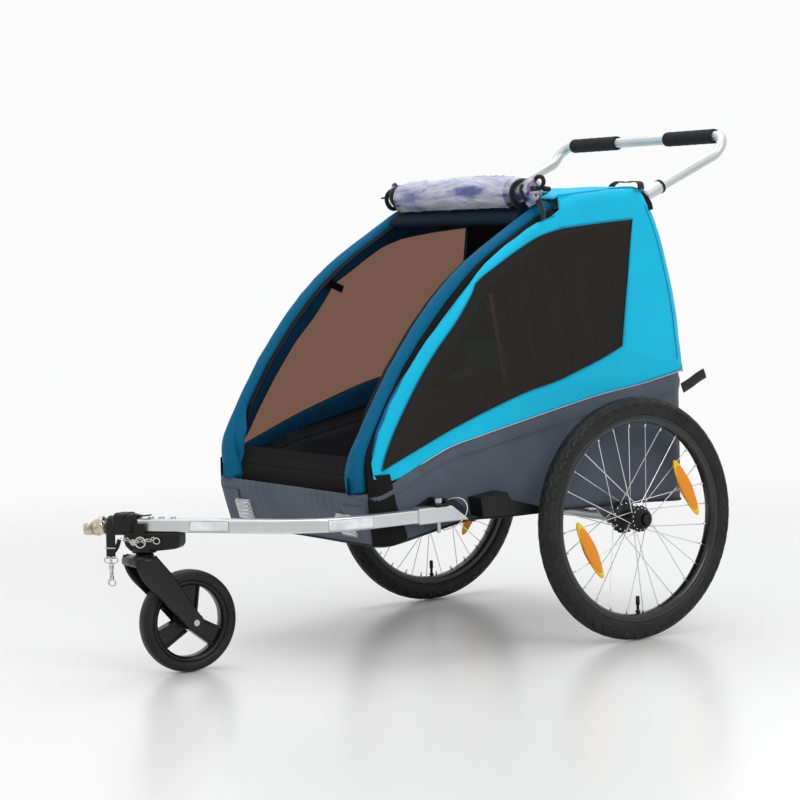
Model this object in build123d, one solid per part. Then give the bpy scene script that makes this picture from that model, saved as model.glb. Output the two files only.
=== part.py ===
from build123d import *
import math
import os

# Two-seat child bicycle trailer in its strolling set-up: an aluminium floor frame in a fabric tub, a folding
# roll cage and rear uprights, two quick-release wheels, a tow arm pinned to the left side and a caster wheel
# clamped under the arm's front end.
# Millimetres. +Z is up, the nose faces -Y, and +X is the child's left side, where the tow arm is.
# Every dimension below is counted from the ground point under the wheel axle, on the middle plane. save()
# moves the model along Y, so that the saved parts have their origin under the centre of the whole trailer.

# ---- driving dimensions ----
WHEEL_R = 248.0            # 20 inch wheel, outside the tyre
TYRE_R = 22.5              # radius of the tyre's section
RIM_R = 195.5              # inner face of the rim
BEAD_R = 208.0             # outer face of the rim, under the tyre
TRACK_X = 361.0            # middle plane of each wheel
HUB_END_X = 392.0          # outer face of the hub
BUTTON_END_X = 400.0       # outer face of the quick-release button
BUTTON_R = 11.0
HUB_INNER = -53.0          # inner end of the hub, from the wheel's middle plane
FLANGE_IN_X, FLANGE_OUT_X = -38.0, 12.0
SPOKES = 28
REFLECTOR_R = 139.0        # centre of each spoke reflector, from the axle
REFLECTOR_SIZE = (6.0, 30.0, 136.0)
REFLECTOR_TURN = 22.0      # degrees above the horizontal
REFLECTOR_LEAN = 6.0       # extra lean of its long side, in degrees
AXLE_R = 6.0
RUN = 0.05                 # radial running clearance

HALF_W = 288.0             # outside of the fabric tub
TUB_WALL = 2.0
TUB_CORNER_R = 40.0
REAR_WALL_TOP = 495.0
PANEL_X = 284.5            # inner face of the upper side panels
SHEET = 2.0                # thickness of each upper fabric panel
MESH_THICKNESS = 1.2

RAIL_X, RAIL_Z, RAIL_R = 262.0, 290.0, 11.0
RAIL_FRONT_Y, RAIL_REAR_Y = -575.0, 185.0
TUBE_WALL = 1.8
BEAM_R = 12.7              # axle beam under the floor
FLOOR_Z = 268.0            # underside of the tub's floor over the axle

UPRIGHT_X, UPRIGHT_R = 270.0, 11.0
UPRIGHT_FOOT = (170.0, 440.0)      # fold axis of the uprights, as (y, z)
UPRIGHT_HEAD = (90.0, 889.3)       # in line with the handlebar's straight part
HANDLE_START = (150.0, 915.0)
HANDLE_KNEE = (318.0, 987.0)
HANDLE_TOP = (349.0, 1026.0)
HANDLE_HALF_W = 276.0
GRIP_R = 15.5
GRIP_IN, GRIP_OUT = 83.0, 238.0

CAGE_X, CAGE_R = 241.0, 11.0
CAGE_FOOT = (-584.0, 322.0)        # fold axis of the roll cage
SLEEVE_R = 13.5
CAGE_LINE = [(-602.0, 402.0), (-505.0, 575.0), (-360.0, 745.0), (-110.0, 893.0)]
CAGE_RADII = [90.0, 900.0, 640.0, 230.0]
CAGE_REAR = (75.0, 898.0)
ROLL_CENTRE, ROLL_RADII = (-156.0, 914.0), (30.0, 27.0)    # rolled rain cover, as (y, z)
ROLL_HALF_L, TIE_X = 224.0, 204.0
BOLT_R = 4.0

ARM_X, ARM_Z = 308.0, 295.0
ARM_H, ARM_SLEEVE_H, ARM_WALL = 26.0, 32.0, 2.0
ARM_BEND_R, ARM_BEND_DEG = 210.0, 52.0
ARM_SLEEVE_FRONT_Y = -511.0
ARM_REAR_Y = -400.0
ARM_TIP = 48.0             # straight run of the arm past the caster stem
ARM_PIN_Y = -455.0
PIN_R = 4.0

STEM_XY = (18.0, -944.0)   # caster swivel axis
STEM_R = 11.0
CASTER_R, CASTER_TRAIL, CASTER_YAW = 100.0, 87.0, -3.5
CASTER_TYRE_W, CASTER_CORE_R = 38.0, 79.0
BRACKET_Z = (242.0, 280.0)
CASTER_PIN_R = 2.5
EYE_REACH, EYE_R, EYE_BORE_R = 113.0, 13.0, 5.0
STRAP_S, STRAP_W, STRAP_T = 61.0, 20.0, 2.2      # place along the arm, width and thickness of the safety strap
STRAP_ROUTE = [(-18.5, 284), (-18.5, 311.5), (18.5, 311.5), (18.5, 268), (21, 231.8)]     # (side, z)
STRAP_RADII = [17, 17, 90]
LANYARD_ROUTE = [(304, -438, 317), (316, -420, 327), (330, -404, 318), (336, -404, 298), (334, -420, 276),
                 (322, -440, 265), (313.4, -450, 263)]
LANYARD_R, LANYARD_BEND = 1.1, 14.0

HEADING = math.radians(ARM_BEND_DEG)
ARM_DIR = Vector(-math.sin(HEADING), -math.cos(HEADING), 0)
ARM_SIDE = Vector(math.cos(HEADING), -math.sin(HEADING), 0)

FRONT_Y = STEM_XY[1] + EYE_REACH * ARM_DIR.Y - EYE_R
REAR_Y = HANDLE_TOP[0] + GRIP_R
CENTRE_Y = (FRONT_Y + REAR_Y) / 2


# ---- helpers ----
def save(node, *shapes):
    """Writes one node, moved so that the origin lies under the trailer's centre."""
    solids = [solid for shape in shapes for solid in shape.solids()]
    export_step(Compound([Pos(0, -CENTRE_Y, 0) * solid for solid in solids]), f"parts/{node}.step")


def other_side(shape):
    return mirror(shape, about=Plane.YZ)


def rod(start, end, radius):
    start, end = Vector(*start), Vector(*end)
    return Solid.make_cylinder(radius, (end - start).length, Plane(origin=start, z_dir=end - start))


def tube(start, end, r_out, r_in):
    return rod(start, end, r_out) - rod(start, end, r_in)


def slab(outline, x0, x1):
    """A plate whose outline is a list of (y, z) points, from x0 to x1."""
    points = [(x0, y, z) for y, z in outline]
    return extrude(make_face(Polyline(*points, close=True)), amount=x1 - x0, dir=(1, 0, 0))


def swept(path, section):
    """Sweeps a section round the start of a path; section is drawn with its X along the world's X."""
    across = Vector(1, 0, 0)
    tangent = path % 0
    if abs(tangent.dot(across)) > 0.9:
        across = Vector(0, 0, 1)
    return sweep(Plane(origin=path @ 0, x_dir=across, z_dir=tangent) * section, path=path)


def pipe(points, radii, r_out, r_in):
    return swept(FilletPolyline(*points, radius=radii), Circle(r_out) - Circle(r_in))


def sheet(points, radii, half_width, thickness):
    """A sheet across the trailer that follows a line of (y, z) points."""
    line = [(0, y, z) for y, z in points]
    path = FilletPolyline(*line, radius=radii) if radii else Polyline(*line)
    return swept(path, Rectangle(2 * half_width, thickness))


def block(x, y, z):
    """A box from three (low, high) pairs."""
    size = [high - low for low, high in (x, y, z)]
    middle = [(high + low) / 2 for low, high in (x, y, z)]
    return Pos(*middle) * Box(*size)


def along_arm(s, side=0.0, z=0.0):
    """A point s mm past the caster stem along the arm's front run."""
    return Vector(*STEM_XY, z) + ARM_DIR * s + ARM_SIDE * side


def arm_block(s, side, z):
    """A box in line with the arm's front run, from three (low, high) pairs."""
    middle = along_arm((s[0] + s[1]) / 2, (side[0] + side[1]) / 2, (z[0] + z[1]) / 2)
    frame = Plane(origin=middle, x_dir=ARM_DIR, z_dir=(0, 0, 1))
    return frame * Box(s[1] - s[0], side[1] - side[0], z[1] - z[0])


def up_the_upright(r, forward=0.0):
    """(y, z) of a point r mm up the upright's line and so far in front of it."""
    dy, dz = UPRIGHT_HEAD[0] - UPRIGHT_FOOT[0], UPRIGHT_HEAD[1] - UPRIGHT_FOOT[1]
    length = math.hypot(dy, dz)
    uy, uz = dy / length, dz / length
    return UPRIGHT_FOOT[0] + uy * r - uz * forward, UPRIGHT_FOOT[1] + uz * r + uy * forward


# ---- floor frame ----
def floor_frame():
    """Two side rails and two cross tubes, welded into one frame."""
    inner = RAIL_R - TUBE_WALL
    outside, inside = [], []
    for x in (-RAIL_X, RAIL_X):
        outside.append(rod((x, RAIL_FRONT_Y - RAIL_R, RAIL_Z), (x, RAIL_REAR_Y + RAIL_R, RAIL_Z), RAIL_R))
        inside.append(rod((x, RAIL_FRONT_Y, RAIL_Z), (x, RAIL_REAR_Y, RAIL_Z), inner))
    for y in (RAIL_FRONT_Y, RAIL_REAR_Y):
        outside.append(rod((-RAIL_X, y, RAIL_Z), (RAIL_X, y, RAIL_Z), RAIL_R))
        inside.append(rod((-RAIL_X, y, RAIL_Z), (RAIL_X, y, RAIL_Z), inner))
    save("floor_frame", outside[0].fuse(*outside[1:]).cut(*inside))


def axle_parts():
    """Beam across under the floor, a bracket with a bush at each end, and the two stub axles."""
    beam_end = HALF_W + 1.5
    save("axle_beam", tube((-beam_end, 0, WHEEL_R), (beam_end, 0, WHEEL_R), BEAM_R, BEAM_R - 2))
    plate = slab([(-50, FLOOR_Z), (50, FLOOR_Z), (14, 232), (-14, 232)], beam_end, beam_end + 5)
    plate = fillet(plate.edges().filter_by(Axis.X).group_by(Axis.Z)[0], 8)
    flange = block((RAIL_X - 24, beam_end + 5), (-50, 50), (FLOOR_Z - 4, FLOOR_Z))
    bush = tube((250, 0, WHEEL_R), (beam_end + 5, 0, WHEEL_R), BEAM_R - 2.05, AXLE_R)
    bore = rod((240, 0, WHEEL_R), (310, 0, WHEEL_R), AXLE_R)
    bracket = plate + flange + bush - bore
    save("axle_brackets", bracket, other_side(bracket))
    hub_start = TRACK_X + HUB_INNER
    axle = rod((252, 0, WHEEL_R), (HUB_END_X - 12, 0, WHEEL_R), AXLE_R)
    axle += tube((beam_end + 5.5, 0, WHEEL_R), (hub_start - 0.3, 0, WHEEL_R), 10, AXLE_R - 1)
    save("wheel_axles", axle, other_side(axle))


def hinge_brackets():
    """Posts for the rear uprights' pivots and low plates for the roll cage's pivots."""
    foot_y, foot_z = UPRIGHT_FOOT
    post = slab([(foot_y - 13, 299), (foot_y + 13, 299), (foot_y + 13, foot_z + 4), (foot_y + 6, foot_z + 12),
                 (foot_y - 6, foot_z + 12), (foot_y - 13, foot_z + 4)], 253.5, 257.5)
    cage_y, cage_z = CAGE_FOOT
    plate = slab([(cage_y - 9.5, 299), (cage_y + 22, 299), (cage_y + 12, cage_z + 12), (cage_y - 9.5, cage_z + 12)],
                 255.5, 259.5)
    pair = [post, plate]
    save("frame_hinge_brackets", *pair, *[other_side(piece) for piece in pair])


def frame_bolts():
    """Pivot bolts of both folding frames, and the bolts that hold the axle brackets up to the rails."""
    foot_y, foot_z = UPRIGHT_FOOT
    cage_y, cage_z = CAGE_FOOT
    upright = rod((249.5, foot_y, foot_z), (283, foot_y, foot_z), BOLT_R) + rod(
        (249.5, foot_y, foot_z), (253.5, foot_y, foot_z), 7.5)
    cage = rod((227.5, cage_y, cage_z), (263, cage_y, cage_z), BOLT_R) + rod(
        (259.5, cage_y, cage_z), (264, cage_y, cage_z), 7)
    bolts = [upright, cage]
    for y in (-34, 34):
        shank = rod((RAIL_X, y, FLOOR_Z - 5), (RAIL_X, y, RAIL_Z + RAIL_R - 2), 3)
        bolts.append(shank + rod((RAIL_X, y, FLOOR_Z - 8), (RAIL_X, y, FLOOR_Z - 4), 6))
    save("frame_bolts", *bolts, *[other_side(bolt) for bolt in bolts])


# ---- fabric tub and seat ----
def fabric_tub():
    """Grey lower body: floor, side walls with a rising border, a slanted nose and a rear wall."""
    bottom = [(201, 261), (74, 268), (-291, 270), (-365, 273), (-438, 260), (-577, 237)]
    border = [(-604, 320), (-570, 335), (-548, 352), (-408, 412), (-235, 450), (-27, 490), (207, 530)]
    outer = slab(bottom + border, -HALF_W, HALF_W)
    plan = Pos(0, (-606 + 210) / 2, 400) * Box(2 * HALF_W, 816, 400)
    plan = fillet(plan.edges().filter_by(Axis.Z), TUB_CORNER_R)
    outer = outer & plan
    w = TUB_WALL
    inner_bottom = [(201 - w, 261 + w), (74, 268 + w), (-291, 270 + w), (-365, 273 + w), (-438, 260 + w),
                    (-577 + w, 237 + w)]
    inner = slab(inner_bottom + [(-604 + w, 320), (-606 + w, 620), (205, 620)], -HALF_W + w, HALF_W - w)
    inner_plan = Pos(0, (-606 + 210) / 2, 450) * Box(2 * (HALF_W - w), 816 - 2 * w, 500)
    inner_plan = fillet(inner_plan.edges().filter_by(Axis.Z), TUB_CORNER_R - w)
    tub = outer - (inner & inner_plan)
    tub -= block((-HALF_W, HALF_W), (195, 215), (REAR_WALL_TOP, 600))
    save("fabric_tub", tub)


def seat_parts():
    base = block((-215, 215), (-270, 120), (312, 365))
    base = fillet(base.edges().filter_by(Axis.Z), 30)
    save("seat_base", fillet(base.edges().group_by(Axis.Z)[-1], 12))
    corners = [up_the_upright(30, 24), up_the_upright(370, 24), up_the_upright(370, 58), up_the_upright(30, 58)]
    back = slab(corners, -215, 215)
    save("seat_back", fillet(back.edges().filter_by(Axis.X), 8))


def side_panels():
    """Upper side fabric, one sheet each side, with a tinted window let in."""
    outline = [(-585, 372), (-548, 356), (-408, 416), (-235, 454), (-27, 494), (205, 534), (199, 600), (187, 683),
               (167, 763), (147, 826), (121, 882), (97, 914), (0, 911), (-112, 900), (-180, 855), (-260, 808),
               (-371, 706), (-461, 622), (-549, 511), (-590, 420)]
    window = [(71, 854), (37, 594), (-128, 534), (-381, 461), (-573, 386), (-548, 428), (-474, 545), (-374, 663),
              (-320, 728), (-272, 771), (-170, 825), (-113, 840)]
    glazing = slab(window, PANEL_X, PANEL_X + SHEET)
    panel = slab(outline, PANEL_X, PANEL_X + SHEET) - glazing
    save("side_panel_left", panel)
    save("side_panel_right", other_side(panel))
    save("side_window_left", glazing)
    save("side_window_right", other_side(glazing))


def end_panels():
    """Roof and rear fabric sheets."""
    roof = sheet([(-115, 911), (-20, 915.5), (94, 916)], [300], PANEL_X + SHEET, SHEET)
    save("roof_fabric", roof)
    rear = sheet([(203, 545), (197, 620), (176, 735), (132, 862)], [300, 400], PANEL_X - 1, SHEET)
    save("rear_panel", rear)


def tub_trim():
    """Nose reflectors, wheel guards and the pull tab on the rear edge."""
    slant = math.degrees(math.atan2(604 - 577, 320 - 237))
    reflector = Pos(190, -598, 274) * Rot(-slant, 0, 0) * Box(42, 12, 44)
    reflector = reflector - slab([(-577, 237), (-604.3, 320), (-560, 320), (-560, 237)], 100, 280)
    save("front_reflectors", reflector, other_side(reflector))
    guard = slab([(-368, 319), (-304, 327), (-293, 310), (-213, 287), (-213, 277), (-362, 281)],
                 HALF_W + 0.3, 330)
    guard = fillet(guard.edges().filter_by(Axis.X).group_by(Axis.Z)[-1], 6)
    save("wheel_guards", guard, other_side(guard))
    tab = slab([(208, 498), (262, 532), (273, 511), (210, 478)], 276, 280)
    save("rear_pull_tab", tab)


# ---- folding frames ----
def uprights():
    """Two rear uprights, bent back at the head to hold the handlebar, and a low cross tube."""
    foot = up_the_upright(-10)
    path = [(UPRIGHT_X, *foot), (UPRIGHT_X, *UPRIGHT_HEAD), (UPRIGHT_X, *HANDLE_START)]
    upright = pipe(path, [28], UPRIGHT_R, UPRIGHT_R - TUBE_WALL)
    upright += rod((UPRIGHT_X - 10.5, *UPRIGHT_FOOT), (UPRIGHT_X + 10.5, *UPRIGHT_FOOT), 7)
    upright -= rod((250, *UPRIGHT_FOOT), (290, *UPRIGHT_FOOT), BOLT_R + RUN)
    save("upright_left", upright)
    save("upright_right", other_side(upright))
    bar = up_the_upright(100)
    save("low_crossbar", rod((-UPRIGHT_X + 9, *bar), (UPRIGHT_X - 9, *bar), 9))


def handlebar():
    """U-shaped handlebar, its two sockets and its two grips."""
    ends = [(UPRIGHT_X, *HANDLE_START), (UPRIGHT_X + 3, *HANDLE_KNEE), (HANDLE_HALF_W, *HANDLE_TOP)]
    points = ends + [(-x, y, z) for x, y, z in reversed(ends)]
    bar = pipe(points, [45, 34, 34, 45], UPRIGHT_R, UPRIGHT_R - TUBE_WALL)
    save("handlebar_tube", bar)
    slope = (HANDLE_KNEE[1] - HANDLE_START[1]) / (HANDLE_KNEE[0] - HANDLE_START[0])
    start, end = [(UPRIGHT_X, HANDLE_START[0] + dy, HANDLE_START[1] + slope * dy) for dy in (-31, 11)]
    socket = tube(start, end, SLEEVE_R, UPRIGHT_R + RUN)
    save("handlebar_sockets", socket, other_side(socket))
    grip = tube((GRIP_IN, *HANDLE_TOP), (GRIP_OUT, *HANDLE_TOP), GRIP_R, UPRIGHT_R + RUN)
    save("grip_left", grip)
    save("grip_right", other_side(grip))


def cage_points(x):
    return [(x, *CAGE_FOOT)] + [(x, y, z) for y, z in CAGE_LINE] + [(x, *CAGE_REAR)]


def roll_cage():
    """Two side tubes from the nose over the roof, joined by a cross tube over the front opening."""
    leg = pipe(cage_points(CAGE_X), CAGE_RADII, CAGE_R, CAGE_R - TUBE_WALL)
    leg += rod((CAGE_X - 10.5, *CAGE_FOOT), (CAGE_X + 10.5, *CAGE_FOOT), 8)
    leg -= rod((220, *CAGE_FOOT), (270, *CAGE_FOOT), BOLT_R + RUN)
    leg += rod((CAGE_X + 10, CAGE_REAR[0] - 14, CAGE_REAR[1]), (UPRIGHT_X - UPRIGHT_R - 1, CAGE_REAR[0] - 14,
                                                               CAGE_REAR[1]), 5)
    cross_y, cross_z = -168.0, 859.0
    hoop = leg + other_side(leg) + rod((-CAGE_X, cross_y, cross_z), (CAGE_X, cross_y, cross_z), 9)
    hollow = FilletPolyline(*cage_points(CAGE_X), radius=CAGE_RADII)
    bore = swept(hollow, Circle(CAGE_R - TUBE_WALL))
    save("roll_cage_hoop", hoop - bore - other_side(bore))


def cage_sleeves():
    """Padded fabric sleeve round the visible part of each side tube."""
    (y0, z0), (y1, z1) = CAGE_FOOT, CAGE_LINE[0]
    share = (345 - z0) / (z1 - z0)
    start = (CAGE_X, y0 + share * (y1 - y0), 345)
    (y2, z2), (y3, z3) = CAGE_LINE[2], CAGE_LINE[3]
    share = (-150 - y2) / (y3 - y2)
    end = (CAGE_X, -150, z2 + share * (z3 - z2))
    points = [start] + [(CAGE_X, y, z) for y, z in CAGE_LINE[:3]] + [end]
    sleeve = pipe(points, CAGE_RADII[:3], SLEEVE_R, CAGE_R + RUN)
    save("cage_sleeve_left", sleeve)
    save("cage_sleeve_right", other_side(sleeve))


def front_cover():
    """Mesh screen between the sleeves, and the stiff hem that is lifted to roll it up."""
    (y2, z2), (y3, z3) = CAGE_LINE[2], CAGE_LINE[3]
    share = (-185 - y2) / (y3 - y2)
    line = [(-597, 372)] + CAGE_LINE[:3] + [(-185, z2 + share * (z3 - z2))]
    mesh = sheet(line, [20] + CAGE_RADII[1:3], CAGE_X - SLEEVE_R - 1.5, MESH_THICKNESS)
    save("front_mesh_cover", mesh)
    save("cover_hem", block((-222, 222), (-605, -601), (325, 364)))


def roof_trim():
    """Rolled rain cover with its two ties, and the webbing loops at the roof's rear corners."""
    plane = Plane(origin=(-ROLL_HALF_L, *ROLL_CENTRE), x_dir=(0, 1, 0), z_dir=(1, 0, 0))
    roll = extrude(plane * Ellipse(*ROLL_RADII), amount=2 * ROLL_HALF_L)
    tie_plane = Plane(origin=(TIE_X, *ROLL_CENTRE), x_dir=(0, 1, 0), z_dir=(1, 0, 0))
    ring = Ellipse(*[r + 2.4 for r in ROLL_RADII]) - Ellipse(*[r + 0.3 for r in ROLL_RADII])
    tie = extrude(tie_plane * ring, amount=15)
    tie_right = other_side(tie)
    save("rain_cover_roll", roll)
    save("roll_ties", tie, tie_right)
    points = [(186, 88, 918), (196, 88, 931), (262, 88, 931), (272, 88, 918)]
    loop = sweep(Plane(origin=points[0], x_dir=(0, 1, 0), z_dir=(Vector(*points[1]) - Vector(*points[0])))
                 * Rectangle(20, 1.6), path=FilletPolyline(*points, radius=[5, 5]))
    save("roof_carry_loops", loop, other_side(loop))


# ---- wheels ----
def wheel_parts():
    """One 20 inch wheel on the left side; the right one is the same wheel turned round to face outwards."""
    tyre = Rot(0, 90, 0) * (Torus(WHEEL_R - TYRE_R, TYRE_R) - Cylinder(BEAD_R, 60))
    rim = Rot(0, 90, 0) * (Cylinder(BEAD_R, 25) - Cylinder(RIM_R, 25))
    valve_low, valve_high = -RIM_R - 5, -RIM_R + 32
    rim += rod((0, 0, valve_low), (0, 0, valve_high), 3)
    hub_outer = HUB_END_X - TRACK_X
    hub = rod((HUB_INNER, 0, 0), (hub_outer, 0, 0), 15)
    hub += rod((FLANGE_IN_X - 4, 0, 0), (FLANGE_IN_X + 4, 0, 0), 32)
    hub += rod((FLANGE_OUT_X - 3, 0, 0), (FLANGE_OUT_X + 3, 0, 0), 26)
    hub -= rod((HUB_INNER - 5, 0, 0), (hub_outer + 5, 0, 0), AXLE_R + RUN)
    hub -= rod((hub_outer - 11, 0, 0), (hub_outer + 5, 0, 0), BUTTON_R + 0.2)
    reflectors = []
    for turn in (REFLECTOR_TURN, REFLECTOR_TURN + 180):
        plate = Rot(turn, 0, 0) * Pos(8.5, REFLECTOR_R, 0) * Rot(REFLECTOR_LEAN, 0, 0) * Box(*REFLECTOR_SIZE)
        reflectors.append(fillet(plate.edges().filter_by(Axis.X), 7))
    nodes = {"tyre": [tyre], "rim": [rim], "hub": [hub], "spokes": wheel_spokes(), "spoke_reflectors": reflectors}
    for name, pieces in nodes.items():
        left = [Pos(TRACK_X, 0, WHEEL_R) * piece for piece in pieces]
        save(f"{name}_left", *left)
        save(f"{name}_right", *[Rot(0, 0, 180) * piece for piece in left])
    button = rod((HUB_END_X - 6.5, 0, WHEEL_R), (BUTTON_END_X, 0, WHEEL_R), BUTTON_R)
    button = chamfer(button.edges().group_by(Axis.X)[-1], 1.5)
    save("hub_button_left", button)
    save("hub_button_right", other_side(button))


def wheel_spokes():
    """Crossed spokes: odd holes go to the inner flange, and each flange's spokes lean both ways."""
    spokes = []
    for k in range(SPOKES):
        rim_angle = math.radians(360 / SPOKES * k + 4)
        flange_x, flange_r = (FLANGE_OUT_X, 21) if k % 2 == 0 else (FLANGE_IN_X, 27)
        lean = 1 if (k // 2) % 2 == 0 else -1
        hub_angle = rim_angle + lean * math.radians(52)
        start = (flange_x + 2.0 * lean, flange_r * math.cos(hub_angle), flange_r * math.sin(hub_angle))
        end = (1.2 * lean, (RIM_R + 1) * math.cos(rim_angle), (RIM_R + 1) * math.sin(rim_angle))
        spokes.append(rod(start, end, 1.0))
    return spokes


# ---- tow arm ----
def arm_path(rear_y):
    """Straight along the left side, one round bend inwards, then straight over the caster stem."""
    stem_x, stem_y = STEM_XY
    straight = (ARM_X - stem_x - ARM_BEND_R * (1 - math.cos(HEADING))) / math.sin(HEADING)
    bend_y = stem_y + ARM_BEND_R * math.sin(HEADING) + straight * math.cos(HEADING)
    corner_y = bend_y - ARM_BEND_R * math.tan(HEADING / 2)
    tip = along_arm(ARM_TIP, z=ARM_Z)
    return FilletPolyline((ARM_X, rear_y, ARM_Z), (ARM_X, corner_y, ARM_Z), tip, radius=ARM_BEND_R)


def square_tube(side, wall, corner):
    return RectangleRounded(side, side, corner) - RectangleRounded(side - 2 * wall, side - 2 * wall, corner - wall)


def tow_arm():
    """Square tube with a rear sleeve cut off at a slant, pinned in an anchor on the left rail."""
    pin_hole = rod((ARM_X, ARM_PIN_Y, 200), (ARM_X, ARM_PIN_Y, 400), PIN_R + RUN)
    arm = swept(arm_path(ARM_REAR_Y), square_tube(ARM_H, ARM_WALL, 4))
    slant = slab([(-446, 320), (-380, 270), (-330, 270), (-330, 320)], 270, 340)
    stem_hole = rod((*STEM_XY, 279), (*STEM_XY, 290), 8)
    save("tow_arm_tube", arm - slant - pin_hole - stem_hole)
    sleeve_line = Line((ARM_X, ARM_SLEEVE_FRONT_Y, ARM_Z), (ARM_X, -380, ARM_Z))
    sleeve = swept(sleeve_line, RectangleRounded(ARM_SLEEVE_H, ARM_SLEEVE_H, 5)
                   - RectangleRounded(ARM_H + 0.2, ARM_H + 0.2, 4.1))
    save("tow_arm_sleeve", sleeve - slant - pin_hole)
    inner = HALF_W + 0.3
    plate = slab([(-492, 277), (-492, 312), (-462, 327), (-428, 322), (-402, 300), (-392, 277)], inner, 291.8)
    cap = slab([(-445, 312), (-433.4, 312), (-383.3, 274), (-372, 273), (-398, 303), (-424, 321), (-445, 320)],
               291.8, 318)
    lug = block((291.8, 324), (-470, -440), (311.3, 315.5))
    save("tow_arm_anchor", plate + cap + lug - pin_hole)
    head = Pos(ARM_X, ARM_PIN_Y, 321) * Cylinder(8, 9)
    pin = rod((ARM_X, ARM_PIN_Y, 258), (ARM_X, ARM_PIN_Y, 320), PIN_R) + head
    save("tow_arm_pin", pin)


def arm_fittings():
    """Bolts on the arm, the cast coupler on its front end, and the webbing and wire that hang from it."""
    bolts = [rod(along_arm(s, z=281), along_arm(s, z=ARM_Z + ARM_H / 2 + 3), 3)
             + rod(along_arm(s, z=ARM_Z + ARM_H / 2), along_arm(s, z=ARM_Z + ARM_H / 2 + 3), 5.5)
             for s in (-62, -38, -16)]
    save("arm_bolts", *bolts)
    neck = Plane(origin=along_arm(ARM_TIP - 20, z=ARM_Z), z_dir=ARM_DIR)
    plug = Solid.make_cylinder(10.5, 24, neck)
    cone_axis = Plane(origin=along_arm(ARM_TIP + 3, z=ARM_Z - 1), z_dir=ARM_DIR + Vector(0, 0, -0.12))
    cone = Solid.make_cone(14.5, 9, 32, cone_axis)
    eye = Pos(*along_arm(EYE_REACH, z=286)) * Sphere(EYE_R) & arm_block((80, 140), (-20, 20), (277, 295))
    arm = rod(along_arm(ARM_TIP + 30, z=291), along_arm(EYE_REACH - 8, z=287), 8)
    eye_centre = along_arm(EYE_REACH)
    bore = rod((eye_centre.X, eye_centre.Y, 260), (eye_centre.X, eye_centre.Y, 310), EYE_BORE_R)
    save("coupler", plug + cone + arm + eye - bore)


def caster_bracket():
    """Black block under the arm that holds the caster stem; a cross pin locks the stem."""
    low, high = BRACKET_Z
    body = arm_block((-88, 48), (-21, 21), (low, high + 1.8))
    body = fillet(body.edges().filter_by(Axis.Z), 7)
    body -= rod((*STEM_XY, low - 5), (*STEM_XY, high + 5), STEM_R + RUN)
    pin_s = STEM_R + RUN
    body -= rod(along_arm(pin_s, -40, 264), along_arm(pin_s, 60, 264), CASTER_PIN_R + RUN)
    save("caster_bracket", body)
    pin = rod(along_arm(pin_s, -19, 264), along_arm(pin_s, 26, 264), CASTER_PIN_R)
    pin += rod(along_arm(pin_s, 22, 264), along_arm(pin_s, 27, 264), 6)
    ring_plane = Plane(origin=along_arm(pin_s - 14, 25.5, 264), z_dir=ARM_SIDE)
    pin += ring_plane * Torus(10, 1.6)
    save("caster_pin", pin)


def caster_parts():
    """Swivelling fork with its stem, and the small wheel on its cross axle."""
    groove = tube((0, 0, 264 - 3.2), (0, 0, 264 + 3.2), STEM_R + 1, STEM_R - CASTER_PIN_R - 2 * RUN)
    stem = rod((0, 0, 225), (0, 0, 281), STEM_R) - groove
    collar = rod((0, 0, 232), (0, 0, 241), 17)
    crown = block((-36, 36), (-24, 30), (206, 234))
    crown = fillet(crown.edges().filter_by(Axis.X), 11)
    leg_line = [(-24, 214), (-2, 230), (24, 226), (44, 196), (106, 112), (102, 84), (76, 86), (36, 128)]
    leg = slab(leg_line, 27, 36)
    leg = fillet(leg.edges().filter_by(Axis.X), 9)
    fork = stem + collar + crown + leg + other_side(leg)
    axle_hole = rod((-50, CASTER_TRAIL, CASTER_R), (50, CASTER_TRAIL, CASTER_R), 4)
    fork -= axle_hole
    axle = axle_hole & block((-40, 40), (0, 200), (0, 200))
    for x in (-40, 36):
        axle += rod((x, CASTER_TRAIL, CASTER_R), (x + 4, CASTER_TRAIL, CASTER_R), 6)
    half = CASTER_TYRE_W / 2
    tyre = rod((-half, 0, 0), (half, 0, 0), CASTER_R) - rod((-half, 0, 0), (half, 0, 0), CASTER_CORE_R)
    outer_edges = [e for e in tyre.edges().filter_by(GeomType.CIRCLE) if e.radius > CASTER_R - 1]
    tyre = fillet(outer_edges, 14)
    core = rod((-14, 0, 0), (14, 0, 0), CASTER_CORE_R) - rod((-14, 0, 0), (14, 0, 0), CASTER_CORE_R - 11)
    core += rod((-25, 0, 0), (25, 0, 0), 17)
    for k in range(3):
        arm = Rot(90 + 120 * k, 0, 0) * Pos(0, 0, 42) * Box(16, 26, 60)
        core += arm & rod((-14, 0, 0), (14, 0, 0), CASTER_CORE_R - 1)
    core -= rod((-30, 0, 0), (30, 0, 0), 4 + RUN)
    place = Pos(*STEM_XY, 0) * Rot(0, 0, CASTER_YAW)
    wheel_place = place * Pos(0, CASTER_TRAIL, CASTER_R)
    save("caster_fork", place * fork)
    save("caster_axle", place * axle)
    save("caster_tyre", wheel_place * tyre)
    save("caster_core", wheel_place * core)


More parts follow.
